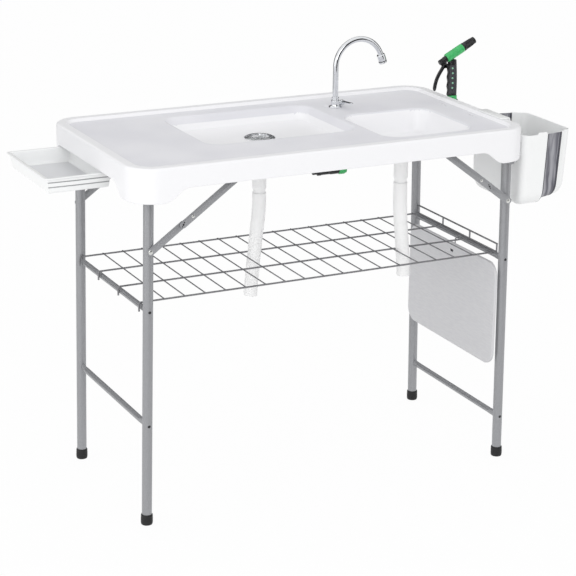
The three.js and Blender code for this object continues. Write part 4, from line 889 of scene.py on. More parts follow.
# %% Pivot tubes and crossbars
for name, stand in stands.items():
    x, z = stand.pivot
    half, r, bore = rail.plane + rail.thickness, pivot.radius, pivot.radius - pivot.wall
    far_plug = 2 * half - pivot.plug
    profile = softened([(0, pivot.plug), (bore, pivot.plug), (bore, 0), (r, 0), (r, 2 * half),
                        (bore, 2 * half), (bore, far_plug), (0, far_plug)], 0.4)
    piece(f"{name}_hinge_tube", {powder_coat: [turned(profile, (x, -half, z), axis=(0, 1, 0), count=36)]},
          f"{name}_legs", [f"{name}_pivot_tube"])

    for where in ("upper", "lower"):
        radius = getattr(crossbar, where)
        end = leg.half_track - leg.radius + crossbar.overlap
        stations = np.concatenate([[-end], np.linspace(-end + 2, 36 - end, 9), [0],
                                   np.linspace(end - 36, end - 2, 9), [end]])
        middle = on_leg(stand, getattr(stand, where))
        path = middle + stations[:, None] * np.array([0, 1.0, 0])
        angle = 2 * np.pi * np.arange(48) / 48
        outward = 0.0 if stand.side < 0 else np.pi
        groove = np.zeros_like(angle)
        if where == "upper":
            for groove_at in (-crossbar.groove_at, crossbar.groove_at):
                off = np.angle(np.exp(1j * (angle - outward - groove_at)))
                groove += crossbar.groove_depth * np.exp(-(off / crossbar.groove_width) ** 2)
        pressed = eased((np.abs(stations) - (end - crossbar.pressed)) / crossbar.fade)[:, None]
        around = (radius - groove * (1 - pressed))[..., None] * circle(1.0, 48)
        shape = np.stack([around[..., 0] * (1 - crossbar.flatten * pressed),
                          around[..., 1] * (1 + crossbar.widen * pressed)], -1)
        bar = shut(carry(shape, path, side=(-1, 0, 0)))
        grids = {powder_coat: [bar]}
        if (name, where) == ("right", "upper"):
            hook_x = BOARD.x + BOARD.thickness / 2 + 0.3 + BOARD.hook
            bar_x, _, bar_z = middle
            wire = softened([(bar_x - radius + 1, BOARD.hole_y, bar_z), (hook_x, BOARD.hole_y, bar_z),
                             (hook_x, BOARD.hole_y, bar_z - BOARD.hook_drop)], 5, 6)
            grids[wire_coat] = [shut(carry(circle(BOARD.hook, 16), wire))]
        piece(f"{name}_{where}_tube_crossbar", grids, f"{name}_legs",
              [f"{name}_{where}_crossbar"])

# %% [markdown]
# The braces are flat straps with round ends, two to a side, pinned at a joint that folds upwards.
# Each strap has a shallow pressed rib along its middle. Bright rivets show at the foot and a little
# above the joint. The joint's own pin ends flush with the strap, with two small dark stops beside
# it that keep the straps from folding the wrong way.

# %% Braces
def strap(start, end, y0, y1, side):
    """A flat bar with round ends in the XZ plane, and a pressed rib along its outer face."""
    a, b = start[[0, 2]], end[[0, 2]]
    low, high = min(y0, y1), max(y0, y1)
    body = shut(stacked(bar_outline(a, b, brace.half), soft_levels(low, high, 0.5), axis="y"))
    inward = unit(b - a) * brace.rib_start
    face = y1 if side * (y1 - y0) > 0 else y0
    edge = [(face - side * 0.3, 0), (face + side * 0.25, 0.6), (face + side * 0.45, 1.6)]
    rib = shut(stacked(bar_outline(a + inward, b - inward, brace.rib_half), edge, axis="y"))
    return [body, rib]


for name, stand in stands.items():
    foot, joint, head = brace_points(stand)
    for where, side in SIDES.items():
        thick = side * brace.thickness
        low0, up0 = side * brace.lower_plane, side * brace.upper_plane
        bright = joint + unit(head - joint) * brace.bright_rivet
        lean = np.array([stand.side * -2.8, 0, 5.2])
        stops = [rivet(at_y(joint + shift, up0 + thick), side, 1.9, 0.7) for shift in (lean, -lean)]
        piece(f"{name}_strap_lower_{where}",
              {powder_coat: strap(foot, joint, low0, low0 + thick, side),
               zinc: [rivet(at_y(joint, low0), -side, brace.head, 0.9)]},
              f"{name}_lower_links", [f"{name}_brace_lower_{where}"])
        piece(f"{name}_strap_upper_{where}",
              {powder_coat: strap(joint, head, up0, up0 + thick, side),
               zinc: [rivet(at_y(bright, up0 + thick), side, 4.4, 1.4),
                      cross_pin(joint, up0 + thick, up0 - side * 1.3, 3.6)],
               dark_rivet: stops},
              f"{name}_upper_links", [f"{name}_brace_upper_{where}"])

# %% [markdown]
# Under the top a steel angle runs along each side. Its flange lies against the underside, and its
# ears carry the pivot tubes and the brace heads.

# %% Side rails and tray guides
def block(x0, x1, y0, y1, z0, z1, edge=0.5):
    """A box with its four upright edges and both rims softened by edge."""
    outline = rounded_rectangle((x1 - x0) / 2, abs(y1 - y0) / 2, edge, 2)
    return shut(stacked(outline, soft_levels(z0, z1, edge, 2), at=((x0 + x1) / 2, (y0 + y1) / 2)))


for where, side in SIDES.items():
    inner, outer = side * rail.plane, side * (rail.plane + rail.thickness)
    near, far = min(inner, outer), max(inner, outer)
    grids = [block(rail.start, rail.end, inner, outer, rail.low, rail.high),
             block(rail.start, rail.flange_end, inner, outer + side * rail.flange,
                   rail.high - rail.thickness, rail.high)]
    heads = []
    for stand in stands.values():
        _, _, head = brace_points(stand)
        for centre, radius in ((stand.pivot, rail.ear), (head[[0, 2]], brace.half)):
            ear = bar_outline(centre, (centre[0], rail.low + radius + 0.01), radius)
            grids.append(shut(stacked(ear, soft_levels(near, far, 0.4), axis="y")))
        grids.append(cross_pin(head, side * (brace.upper_plane - 0.3), inner + side, brace.pin))
        heads.append(rivet(at_y(head, outer), side, 6.5, 1.6))
    piece(f"steel_side_rail_{where}", {powder_coat: grids, zinc: heads}, "table",
          [f"side_rail_{where}"])

tray = Size(left=-735.0, right=-545.0, front=-78.0, back=238.0, high=932.0, height=42.0, rim=8.0,
            rim_thickness=3.0, wall=2.4, radius=8.0, draft=5.0, fillet=6.0, ridge=3.4,
            grooves=(13.0, 26.0), groove_depth=4.6, groove_half=1.9, groove_edge=0.9)
guide = Size(start=-567.0, end=-540.0, clear=0.3, thickness=2.5, ledge=3.7, flange=18.0)
for where, side in SIDES.items():
    edge = tray.front if side < 0 else tray.back
    near, far = edge + side * guide.clear, edge + side * (guide.clear + guide.thickness)
    ledge, high = tray.high - tray.rim_thickness - guide.clear, top.under - guide.clear
    grids = [block(guide.start, guide.end, *places) for places in (
        (near, far, ledge - guide.thickness, high),
        (edge - side * guide.ledge, far, ledge - guide.thickness, ledge),
        (near, far + side * guide.flange, high - guide.thickness, high))]
    piece(f"tray_runner_{where}", {powder_coat: grids}, "table",
          [f"tray_guide_{where}"])

# %% [markdown]
# Wire shelf.
# The shelf is a welded grid: four long wires that hook over the left crossbar, and eighteen thinner
# ones laid across them. Each crossing was pressed together as it was welded, which leaves a small
# darker bead. A second frame of the same wire stands at the right end as a guard rail.

# %% Shelf wires
shelf = Size(wire=2.5, cross=1.8, front=-210.0, back=225.0, high=613.4, hook_x=-535.86, hook_drop=24.0,
             end=548.0, first=-466.0, pitch=58.8, rail_x=556.0, rail_rise=24.0, clear=0.3)
wire = shelf.wire
long_y = np.linspace(shelf.front, shelf.back, 4)
cross_x = shelf.first + shelf.pitch * np.arange(18)
wires, beads = [], []
for y in long_y:
    path = softened([(shelf.hook_x, y, shelf.high - shelf.hook_drop),
                     (shelf.hook_x, y, shelf.high), (shelf.hook_x + 30, y, shelf.high)], 6, 6)
    path = np.concatenate([path, [(shelf.end, y, shelf.high)]])
    wires.append(shut(carry(circle(wire, 16), path)))
cross_z = shelf.high + shelf.cross
bead = [(0, -2.2), (1.6, -1.8), (2.5, 0), (1.6, 1.8), (0, 2.2)]
for x in cross_x:
    wires.append(rod((x, shelf.front - wire, cross_z), (x, shelf.back + wire, cross_z),
                     shelf.cross, 14, side=(1, 0, 0)))
    beads += [turned(bead, (x, y, cross_z - 0.2), axis=(1, 0, 0), count=10) for y in long_y]
piece("welded_wire_shelf", {wire_coat: wires, weld_metal: beads}, "shelf", ["shelf_grid"])

rail_x = shelf.rail_x
foot_z = on_leg(stands["right"], stands["right"].upper)[2] + crossbar.upper + wire + shelf.clear
post_y = [long_y[0] - wire, long_y[1] - wire, long_y[2] + wire, long_y[3] + wire]
guard, beads = [], []
for z in (foot_z, foot_z + shelf.rail_rise):
    guard.append(rod((rail_x, post_y[0] - wire, z), (rail_x, post_y[-1] + wire, z), wire, 16,
                     side=(1, 0, 0)))
    beads += [turned(bead, (rail_x, y, z), axis=(0, 0, 1), count=10) for y in post_y]
guard += [rod((rail_x, y, foot_z), (rail_x, y, foot_z + shelf.rail_rise), wire, 16) for y in post_y]
piece("wire_guard_rail", {wire_coat: guard, weld_metal: beads}, "shelf_rail",
      ["shelf_end_rail"])

# %% [markdown]
# Cutting board.
# One closed band of rings makes the board with its hole: round the outer edge, in across one face to
# the hole, through the hole, and out across the other face. The shallow juice groove that such a
# board has isn't in the photograph, so the faces stay plain.

# %% Board
def board_rings():
    """Rings of the board in Y and Z at places along X, closed on themselves through the hole."""
    b = BOARD
    outline = rounded_rectangle((b.back - b.front) / 2, (b.high - b.low) / 2, b.radius, 12)
    middle = np.array([(b.front + b.back) / 2, (b.low + b.high) / 2])
    hole = np.array([b.hole_y, b.high - b.hole_drop])
    angle = np.arctan2(*(outline(0) + middle - hole).T[::-1])
    ring = np.stack([np.cos(angle), np.sin(angle)], -1)
    half, soft = b.thickness / 2, 1.6

    def face(x, shares):
        return [(x, (outline(soft) + middle) * (1 - share) + (hole + ring * (b.hole + 1)) * share)
                for share in shares]

    shares = (0.25, 0.5, 0.75, 0.92)
    rows = [(x, outline(inset) + middle) for x, inset in soft_levels(-half, half, soft, 4)]
    rows += face(half, shares)
    rows += [(x, hole + ring * (b.hole + grow)) for x, grow in soft_levels(-half, half, 1.0, 3)[::-1]]
    rows += face(-half, shares[::-1])
    rows.append(rows[0])
    return np.stack([np.column_stack([np.full(len(p), x + b.x), p]) for x, p in rows])


# A dark grey ring lines the hole through the board: painted shade for the hole's inner wall.
half, wide, slim = BOARD.thickness / 2 - 0.6, BOARD.hole + 0.3, BOARD.hole - 1.2
hole_shade_ring = [(wide, -half), (wide, half), (slim, half), (slim, -half), (wide, -half)]
hole_at = (BOARD.x, BOARD.hole_y, BOARD.high - BOARD.hole_drop)
piece("polyethylene_board", {board_white: [board_rings()], grip_rubber_and_hole_shade: [turned(hole_shade_ring, hole_at, (1, 0, 0))]},
      "board", ["cutting_board"])

# %% [markdown]
# Faucet.
# The body is one turned profile on a round flange. A lever lies beside it, and the pipe goes up and
# over in an arch of 160 degrees. Below the top hang the nut, a black inlet tee and a green snap
# connector for a garden hose.

# %% Faucet
faucet = Size(x=226.0, y=159.0, body_high=1005.0, pipe=8.0, arch=74.5, arch_z=1101.5, arch_end=160.0,
              lever_x=16.3, lever_z=996.7, reach=62.0, stem=7.7, nut=19.0, nut_height=12.0, arm_z=797.0,
              arm_left=70.0, arm_right=14.0)


def section(points, radius, steps):
    """A closed outline with softened corners, for carrying along a path."""
    points = np.asarray(points, float)
    start = (points[0] + points[-1]) / 2
    return softened([start, *points, start], radius, steps)[:-1]


fx, fy = faucet.x, faucet.y
body = softened([(0, -60), (9.5, -60), (9.5, 0.2), (19, 0.2), (19, 1.6), (17.4, 3.2), (13.6, 4.4), (12.4, 8),
                 (12, 12), (12, 18.6), (10.6, 20), (0, 20)], 0.9)
stem = rod((fx, fy, faucet.lever_z), (fx + 16, fy, faucet.lever_z), faucet.stem, 36)
piece("turned_faucet_body", {chrome: [turned(body, (fx, fy, top.deck), count=64), stem]}, "table",
      ["faucet_body"])

hub = softened([(0, 0), (8, 0), (8, 9), (7.2, 11), (0, 11)], 0.8)
share = np.array([0, 0.04, 0.1, 0.3, 0.5, 0.7, 0.86, 0.94, 0.98, 1.0])
path = np.stack([np.full(10, fx + 21.8), fy + 2 - (faucet.reach + 2) * share,
                 faucet.lever_z + 4 + 5 * share ** 1.3], axis=-1)
width = (4.5 + 1.5 * share) * np.array([0.9, 1, 1, 1, 1, 1, 1, 0.9, 0.72, 0.4])
thick = (2.5 - 0.7 * share) * np.array([0.9, 1, 1, 1, 1, 1, 1, 1, 0.86, 0.5])
blade = shut(carry(np.stack([width, thick], -1)[:, None, :] * circle(1.0, 28), path, side=(1, 0, 0)))
hub = turned(hub, (fx + faucet.lever_x, fy, faucet.lever_z), axis=(1, 0, 0), count=40)
piece("faucet_lever_blade", {chrome: [hub, blade]}, "lever", ["faucet_lever"])

angle = np.pi - np.radians(faucet.arch_end) * np.linspace(0, 1, 49)
arch = np.stack([fx + faucet.arch * (1 + np.cos(angle)), np.full(49, fy),
                 faucet.arch_z + faucet.arch * np.sin(angle)], axis=-1)
rise = np.array([(fx, fy, z) for z in np.linspace(faucet.body_high + 0.3, faucet.arch_z - 2, 8)])
pipe = shut(carry(circle(faucet.pipe, 40), np.concatenate([rise, arch])))
collar = softened([(7.5, 0), (10.5, 0), (10.5, 2.4), (9.7, 3.4), (9.7, 4.6), (10.5, 5.6), (10.5, 8),
                   (8.6, 9.4), (7.5, 9.4)], 0.5)
piece("faucet_arch_pipe", {chrome: [pipe, turned(collar, rise[0], count=48)]}, "spout",
      ["faucet_spout"])

tip, flow = arch[-1], unit((math.sin(angle[-1]), 0, -math.cos(angle[-1])))
cup = softened([(7.8, 0.3), (10.6, 0.3), (12, 2.4), (12, 19), (11.4, 19.6), (11.4, 22.4), (12, 23), (12, 26),
                (11.4, 27), (8, 27), (8, 19), (0, 19)], 0.5)
band = softened([(11.3, 19.7), (11.9, 20), (11.9, 22), (11.3, 22.3)], 0.2)
screen = [(8.2, 21), (0, 21.4)]
piece("faucet_aerator_cup", {chrome: [turned(cup, tip, axis=flow, count=56)],
                             black_abs: [turned(band, tip, axis=flow, count=56),
                                         turned(screen, tip, axis=flow, count=32)]},
      "spout", ["faucet_aerator"])

nut_high = top.under - 0.3
hexagon = shut(stacked(lambda inset: circle(faucet.nut - inset, 6),
                       soft_levels(nut_high - faucet.nut_height, nut_high, 0.8), at=(fx, fy)))
piece("faucet_back_nut", {hose_white: [hexagon]}, "table", ["faucet_nut"])

tee_stem = softened([(0, 0), (9, 0), (9, 40), (8.2, 42), (8.2, 108), (10.5, 110), (10.5, 126), (9, 127.5),
                     (0, 127.5)], 0.8)
barbs = softened([(0, 0), (5.4, 0), (6.5, 4), (5.6, 4.3), (6.5, 8.6), (5.6, 9), (6.5, 13.4), (6, 16),
                  (9.6, 16), (10, 17), (10, 26), (9, 27), (9, 57), (10, 58), (10, 83), (9.4, 84),
                  (0, 84)], 0.4)
arm_start = (fx - faucet.arm_left, fy, faucet.arm_z)
piece("inlet_tee", {black_abs: [turned(tee_stem, (fx, fy, faucet.arm_z), count=36),
                                turned(barbs, arm_start, axis=(1, 0, 0), count=36)]},
      "table", ["water_inlet"])

# %% [markdown]
# Hand sprayer.
# Its barrel is tilted up by 27.6 degrees. The nozzle, flow knob and collar are turned profiles with
# knurled ribs. The handle is a surface of two parameters, height and angle: finger waves run down
# its front, and its back swells into the palm. The grip panels are patches of that same surface,
# lifted a little, with pale beads set in a row.

# %% Sprayer
spray = Size(x=606.0, y=142.0, rear=(582.0, 142.0, 1101.0), tilt=27.6, grip_low=991.3, grip_high=1096.0,
             pivot=(575.0, 142.0, 1079.0), stay=(604.0, 142.0, 1079.0), trigger_foot=(545.0, 142.0, 1008.0),
             trigger_bow=7.0, boss=5.0, boss_half=4.5, pin=2.4, pin_half=6.3, ear=4.8, ear_thickness=3.0,
             collar_low=941.0)
handle = Size(front=16.2, front_taper=1.2, wave=1.3, waves=4, back=13.2, back_taper=1.4, palm=1.5,
              width=11.4, swell=0.7, lean=3.2, power=0.86)
holder = Size(half_y=17.0, half_z=18.0, middle_z=969.0, start=585.3, end=589.3)
aim = np.array([math.cos(math.radians(spray.tilt)), 0, math.sin(math.radians(spray.tilt))])
rear, pivot_at, stay, foot = map(np.array, (spray.rear, spray.pivot, spray.stay, spray.trigger_foot))


def knurled(profile, base, axis, ribs, depth, low, high, count=96):
    """A turned profile whose rows between two heights are cut by lengthwise ribs."""
    profile = np.asarray(profile, float)
    cut = depth * ((profile[:, 1] > low) & (profile[:, 1] < high))
    return turned(profile, base, axis, count, ribs, cut[:, None])


connector = softened([(0, 0.3), (9, 0.3), (12.3, 2.2), (12.3, 6), (12.3, 10), (12.3, 14), (12.3, 18.6),
                      (10, 21), (10, 24.4), (6, 24.8), (6, 14), (0, 14)], 0.5)
arm_end = (fx + faucet.arm_right, fy, faucet.arm_z)
piece("green_hose_connector", {green_abs: [knurled(connector, arm_end, (1, 0, 0), 20, 0.7, 3, 18)]}, "table",
      ["quick_connector"])

barrel = softened([(0, 0), (11.4, 0), (12.7, 1.6), (13, 5), (13, 28), (12.2, 28.8), (12.2, 30.4), (13, 31.2),
                   (13, 58.5), (12.2, 60.9), (0, 60.9)], 0.7)
piece("green_barrel", {green_abs: [turned(barrel, rear, axis=aim, count=56)]}, "sprayer",
      ["sprayer_barrel"])

tube = softened([(0, 61.3), (11.6, 61.3), (12.6, 62.8), (12.6, 66), (12, 68), (11.9, 72), (11.7, 80),
                 (11.3, 90), (10.8, 95), (10.2, 98), (10.2, 103.6), (9.4, 105), (5.2, 105), (5.2, 86),
                 (0, 86)], 0.5)
piece("ribbed_nozzle", {black_abs: [knurled(tube, rear, aim, 18, 1.1, 69, 96, 108)]}, "nozzle",
      ["sprayer_nozzle"])


def handle_surface(share, angle, lift=0.0):
    """The handle at a share of its height and an angle from the back: half-depths differ front and
    back, and four finger waves run down the front."""
    h, cosine, sine = handle, np.cos(angle), np.sin(angle)
    front_depth = h.front - h.front_taper * share + h.wave * np.cos(2 * h.waves * np.pi * share)
    back_depth = h.back - h.back_taper * share + h.palm * np.sin(np.pi * share)
    depth = np.where(cosine < 0, front_depth, back_depth) + lift
    width = h.width + h.swell * np.sin(np.pi * share) + lift
    x = spray.x - h.lean * share + depth * np.sign(cosine) * np.abs(cosine) ** h.power
    y = spray.y + width * np.sign(sine) * np.abs(sine) ** h.power
    z = spray.grip_low + (spray.grip_high - spray.grip_low) * share
    return np.stack(np.broadcast_arrays(x, y, z), axis=-1)


share, angle = np.linspace(0, 1, 90)[:, None], (2 * np.pi * (np.arange(48) + 0.5) / 48)[None, :]
grip = shut(handle_surface(share, angle))
panels, pips = [], []
for side in (-1, 1):
    share = np.concatenate([[0.05], np.linspace(0.06, 0.86, 40), [0.87]])[:, None]
    sweep = np.concatenate([[-0.98], np.linspace(-0.92, 0.92, 15), [0.98]])
    lift = np.full((42, 17), 0.35)
    lift[[0, -1]] = lift[:, [0, -1]] = -0.6
    width = 0.95 - 0.25 * share
    panels.append((handle_surface(share, side * (np.pi / 2 + 0.25) + width * sweep[None, :], lift), False))
    for pip_share in (0.22, 0.36, 0.5, 0.64, 0.78):
        spot = handle_surface(np.array(pip_share), np.array(side * (np.pi / 2 + 0.3)), 0.1)
        pips.append(rivet(spot, side, 3.0, 1.9, 6))
valve = softened([(0, 0.3), (9, 0.3), (9, 9), (8.2, 10.4), (8.2, 16.9), (0, 16.9)], 0.6)
ears = []
for side in (-1, 1):
    y0, y1 = sorted(spray.y + side * out for out in (spray.ear, spray.ear + spray.ear_thickness))
    for target in (rear - aim * 8.5, stay):
        ear = bar_outline(pivot_at[[0, 2]], target[[0, 2]], spray.boss)
        ears.append(shut(stacked(ear, soft_levels(y0, y1, 0.5), axis="y")))
pin = cross_pin(pivot_at, spray.y - spray.pin_half, spray.y + spray.pin_half, spray.pin)
piece("sprayer_grip", {black_abs: [grip, turned(valve, rear, axis=-aim, count=36), *ears, pin],
                       grip_rubber_and_hole_shade: panels, bead_green: pips},
      "sprayer", ["sprayer_handle"])

share = np.linspace(0, 1, 28)
path = pivot_at + (foot - pivot_at) * share[:, None]
path[:, 0] -= spray.trigger_bow * np.sin(np.pi * share)
channel = section([(-5.6, -3.2), (-3.8, -3.2), (-2.8, -1.2), (2.8, -1.2), (3.8, -3.2), (5.6, -3.2),
                   (5.6, 2.4), (4.4, 3.2), (-4.4, 3.2), (-5.6, 2.4)], 0.5, 2)
slim = np.concatenate([np.full(25, 1.0), [0.93, 0.8, 0.5]])[:, None, None]
boss = cross_pin(pivot_at, spray.y - spray.boss_half, spray.y + spray.boss_half, spray.boss)
piece("sprayer_trigger_lever", {black_abs: [shut(carry(channel * slim, path)), boss]}, "trigger",
      ["sprayer_trigger"])

knob = softened([(0, 17.3), (6.6, 17.3), (8, 18.4), (8, 20), (8, 22), (8, 24.6), (7, 26), (0, 26)], 0.4)
piece("sprayer_knurled_knob", {black_abs: [knurled(knob, rear, -aim, 16, 0.9, 18.8, 25)]}, "flow_knob",
      ["sprayer_flow_knob"])

neck = softened([(0, 0), (8.6, 0), (9, 1), (9, 16), (13, 16), (14.5, 18), (14.5, 26), (14.5, 36), (14.5, 44),
                 (14.5, 47.6), (13, 50), (0, 50)], 0.6)
collar_at = (spray.x, spray.y, spray.collar_low)
piece("green_collar", {green_abs: [knurled(neck, collar_at, (0, 0, 1), 26, 0.8, 22, 46)]}, "sprayer",
      ["sprayer_collar"])

ring = softened([(9.3, 953.7), (18, 953.7), (18, 977.7), (14.8, 977.7), (14.8, 956.7), (9.3, 956.7),
                 (9.3, 953.7)], 0.6)
plate = shut(stacked(rounded_rectangle(holder.half_y, holder.half_z, 4, 5),
                     soft_levels(holder.start, holder.end, 0.6), axis="x", at=(spray.y, holder.middle_z)))
piece("sprayer_ring_holder", {black_abs: [turned(ring, (spray.x, spray.y, 0), count=56), plate]},
      "table", ["sprayer_holder"])

# %% [markdown]
# Slide-on tray.
# The tray is one stack of outlines: up the outside, over the rolled rim and down the inside to a
# filleted floor. Two grooves run along each long side, so it reads as three flat bands. They fade
# out at the corners, so each row of points is moved along Y only where the side is straight.

# %% Tray
def tray_row(height, inset, ridge=0.0):
    """One outline of the tray, with its long sides moved out by ridge."""
    half_x, half_y = (tray.right - tray.left) / 2, (tray.back - tray.front) / 2
    pairs = rounded_rectangle(half_x, half_y, tray.radius + 2, 8)(inset)
    sides = zip(pairs, np.roll(pairs, -1, 0))
    pairs = np.concatenate([np.linspace(a, b, 2, endpoint=False) for a, b in sides])
    on_side = eased((np.abs(pairs[:, 1]) - (half_y - inset - 9)) / 8)
    fade = eased((half_x - inset - 4 - np.abs(pairs[:, 0])) / 10)
    pairs[:, 1] += np.sign(pairs[:, 1]) * ridge * on_side * fade
    middle = ((tray.left + tray.right) / 2, (tray.front + tray.back) / 2)
    return np.column_stack([pairs + middle, np.full(len(pairs), height)])


def ridge_at(level):
    """How far the long sides stand out at a height: three bands, with a groove between each two. It
    dies out towards the rim and the floor."""
    groove = sum(eased((tray.groove_half - abs(high - drop - level)) / tray.groove_edge)
                 for drop in tray.grooves)
    ridge = tray.ridge - tray.groove_depth * groove
    return ridge * eased((high - 4 - level) / 2) * eased((level - low) / 3)


high, low, rim, draft = tray.high, tray.high - tray.height, tray.rim, tray.draft
outside = [(low, rim + draft + 8), (low, rim + draft + 2), (low + 0.5, rim + draft + 0.6),
           (low + 2, rim + draft)]
outside += [(level, rim + draft * (1 - (level - low) / (tray.height - 4)))
            for level in np.linspace(low + 4, high - 5, 60)]
within = rim + tray.wall
inside = [(high - 3.2, rim), (high - 3.2, 2), (high - 2.8, 0.5), (high - 2, 0), (high - 1, 0),
          (high - 0.3, 0.5), (high, 1.6), (high, rim), (high - 0.4, rim + 1.4), (high - 1.6, within)]
inside += [(level, within + draft * (high - level) / tray.height)
           for level in np.linspace(high - 5, low + 9, 12)]
inside += [(low + tray.wall + tray.fillet * (1 - math.sin(angle)),
            within + draft + tray.fillet * (1 - math.cos(angle)))
           for angle in np.linspace(0.3, np.pi / 2, 5)]
wall = np.stack([tray_row(level, inset, ridge_at(level)) for level, inset in outside]
                + [tray_row(level, inset) for level, inset in inside])
flat = shut(np.stack([wall[-1], tray_row(inside[-1][0], inside[-1][1] + 3)]), at_start=False)
tray_mesh = piece("white_slide_tray", {tray_white: [shut(wall, at_end=False)], tray_floor_grey: [flat],
                                       groove_painted_shade: []}, "tray", ["slide_tray"]).data

# The outward faces in each groove take the darker grey, as painted shade in the grooves.
coat = np.empty(len(tray_mesh.polygons), np.int32)
tray_mesh.polygons.foreach_get("material_index", coat)
middle, facing = face_places(tray_mesh)
outward = facing[:, 1] * np.sign(middle[:, 1] - (tray.front + tray.back) / 2) > 0.3
in_groove = np.min([np.abs(high - middle[:, 2] - drop) for drop in tray.grooves], axis=0) < 1.6
coat[in_groove & outward & (coat == 0)] = 2
tray_mesh.polygons.foreach_set("material_index", coat)

# %% [markdown]
# Folding bucket.
# Both shells have a U-shaped section that is carried along X. At the closed end the section is drawn
# in along a quarter circle and then shrinks to a point on the rim. Outside and inside are one closed
# loop, so the wall has its thickness and a rounded rim. The soft band between the shells is the
# same loop with folds: it sinks in between its edges, with creases that slant across it, left from
# the way it collapses. Last, the whole bucket is drawn in evenly downwards, so it is 6 percent
# smaller at the floor than at the rim.

# %% Bucket
bucket = Size(y=-137.0, high=960.0, low=753.0, depth=207.0, rise=13.0, x=(590.0, 666.0, 719.0, 760.0),
              inner=140.0, join=138.0, band=129.0, outer=117.0, radius=44.0, wall=2.4, band_wall=1.8,
              plan=22.0, taper=13.0)
x0, x1, x2, x3 = bucket.x
SIDE_STEPS, CORNER_STEPS, FLOOR_STEPS = 26, 14, 15


def tapered(grid):
    """The grid drawn in evenly downwards, about the bucket's middle and its end by the table."""
    grid = np.array(grid, float)
    scale = 1 - bucket.taper / bucket.depth * (bucket.high - grid[..., 2]) / bucket.depth
    grid[..., 0] = x0 + (grid[..., 0] - x0) * scale
    grid[..., 1] = bucket.y + (grid[..., 1] - bucket.y) * scale
    return grid


def u_section(half, low, inset, drop=0.0):
    """Half a loop of the bucket's section, from a drop below the rim, down, round the floor and up
    again, as Y and Z with every side drawn in by inset."""
    r = max(bucket.radius - inset, 1)
    width, bottom = half - inset, low + inset
    down = np.linspace(bucket.high - drop, bottom + r, SIDE_STEPS)
    angle = np.linspace(0, np.pi / 2, CORNER_STEPS)
    left = np.stack([np.full(SIDE_STEPS, -width), down], -1)
    bend = np.stack([-width + r * (1 - np.cos(angle)), bottom + r * (1 - np.sin(angle))], -1)[1:]
    flat = np.stack([np.linspace(-width + r, 0, FLOOR_STEPS), np.full(FLOOR_STEPS, bottom)], -1)[1:]
    half_loop = np.concatenate([left, bend, flat])
    return np.concatenate([half_loop, (half_loop * (-1, 1))[-2::-1]])


def loop_row(x_out, x_in, outer, inner, shrink=1.0):
    """Outer and inner sections as one closed loop, shrunk towards the middle of the rim."""
    rim_z = bucket.high
    parts = []
    for x, pairs in ((x_out, outer), (x_in, inner[::-1])):
        pairs = (pairs - (0, rim_z)) * shrink + (0, rim_z)
        parts.append(np.column_stack([np.full(len(pairs), x), pairs[:, 0] + bucket.y, pairs[:, 1]]))
    first, last = parts
    crest_a, crest_b = (first[-1] + last[0]) / 2, (last[-1] + first[0]) / 2
    row = np.concatenate([first, crest_a[None], last, crest_b[None]])
    row[:, 2] -= 0.7
    row[[len(first), -1], 2] += 0.7
    return row


def shell(x_end, x_open, half_end, half_open, low):
    """A bucket shell, closed at one end of X and open at the other."""
    wall, plan = bucket.wall, bucket.plan
    toward = 1 if x_open > x_end else -1
    rows = [loop_row(x_end, x_end + toward * wall, u_section(half_end, low, plan),
                     u_section(half_end, low, plan), s) for s in (0.0, 0.35, 0.7)]
    for angle in np.linspace(0, np.pi / 2, 10):
        out_x = x_end + toward * plan * (1 - math.cos(angle))
        in_x = x_end + toward * (wall + (plan - wall) * (1 - math.cos(angle)))
        rows.append(loop_row(out_x, in_x, u_section(half_end, low, plan * (1 - math.sin(angle))),
                             u_section(half_end, low, wall + (plan - wall) * (1 - math.sin(angle)))))
    for share in (0.25, 0.5, 0.75, 0.97, 1.0):
        half = half_end + (half_open - half_end) * share
        x = x_end + toward * plan + (x_open - x_end - toward * plan) * share
        rows.append(loop_row(x, x, u_section(half, low, 0.0), u_section(half, low, wall)))
    middle = u_section(half_open, low, wall / 2)
    rows.append(loop_row(x_open, x_open, middle, middle))
    return tapered(np.stack(rows))


outer_low = bucket.low + bucket.rise
# A small lug on the outside of the rim, on the side that faces the front.
lug = shut(stacked(rounded_rectangle(15, 6.5, 4.5, 5), soft_levels(0, 3, 0.8), axis="y", at=(649, 959)))
lug[..., 1] += bucket.y - bucket.join - 0.6
piece("bucket_shell_by_the_table",
      {tray_white: [shell(x0, x1, bucket.inner, bucket.join, bucket.low), lug]},
      "bucket", ["bucket_inner_shell"])
piece("bucket_shell_outside", {tray_white: [shell(x3, x2 + 0.3, bucket.outer, bucket.band, outer_low)]},
      "bucket_shell", ["bucket_outer_shell"])


FOLDS = Size(pitch=74.0, slant=0.8, even=3.0, crease=4.6, ripple=1.0, ripple_run=23.0, ripple_turn=5.0,
             fade=40.0, middle_drop=60.0, drop=1.0, kept=0.09)


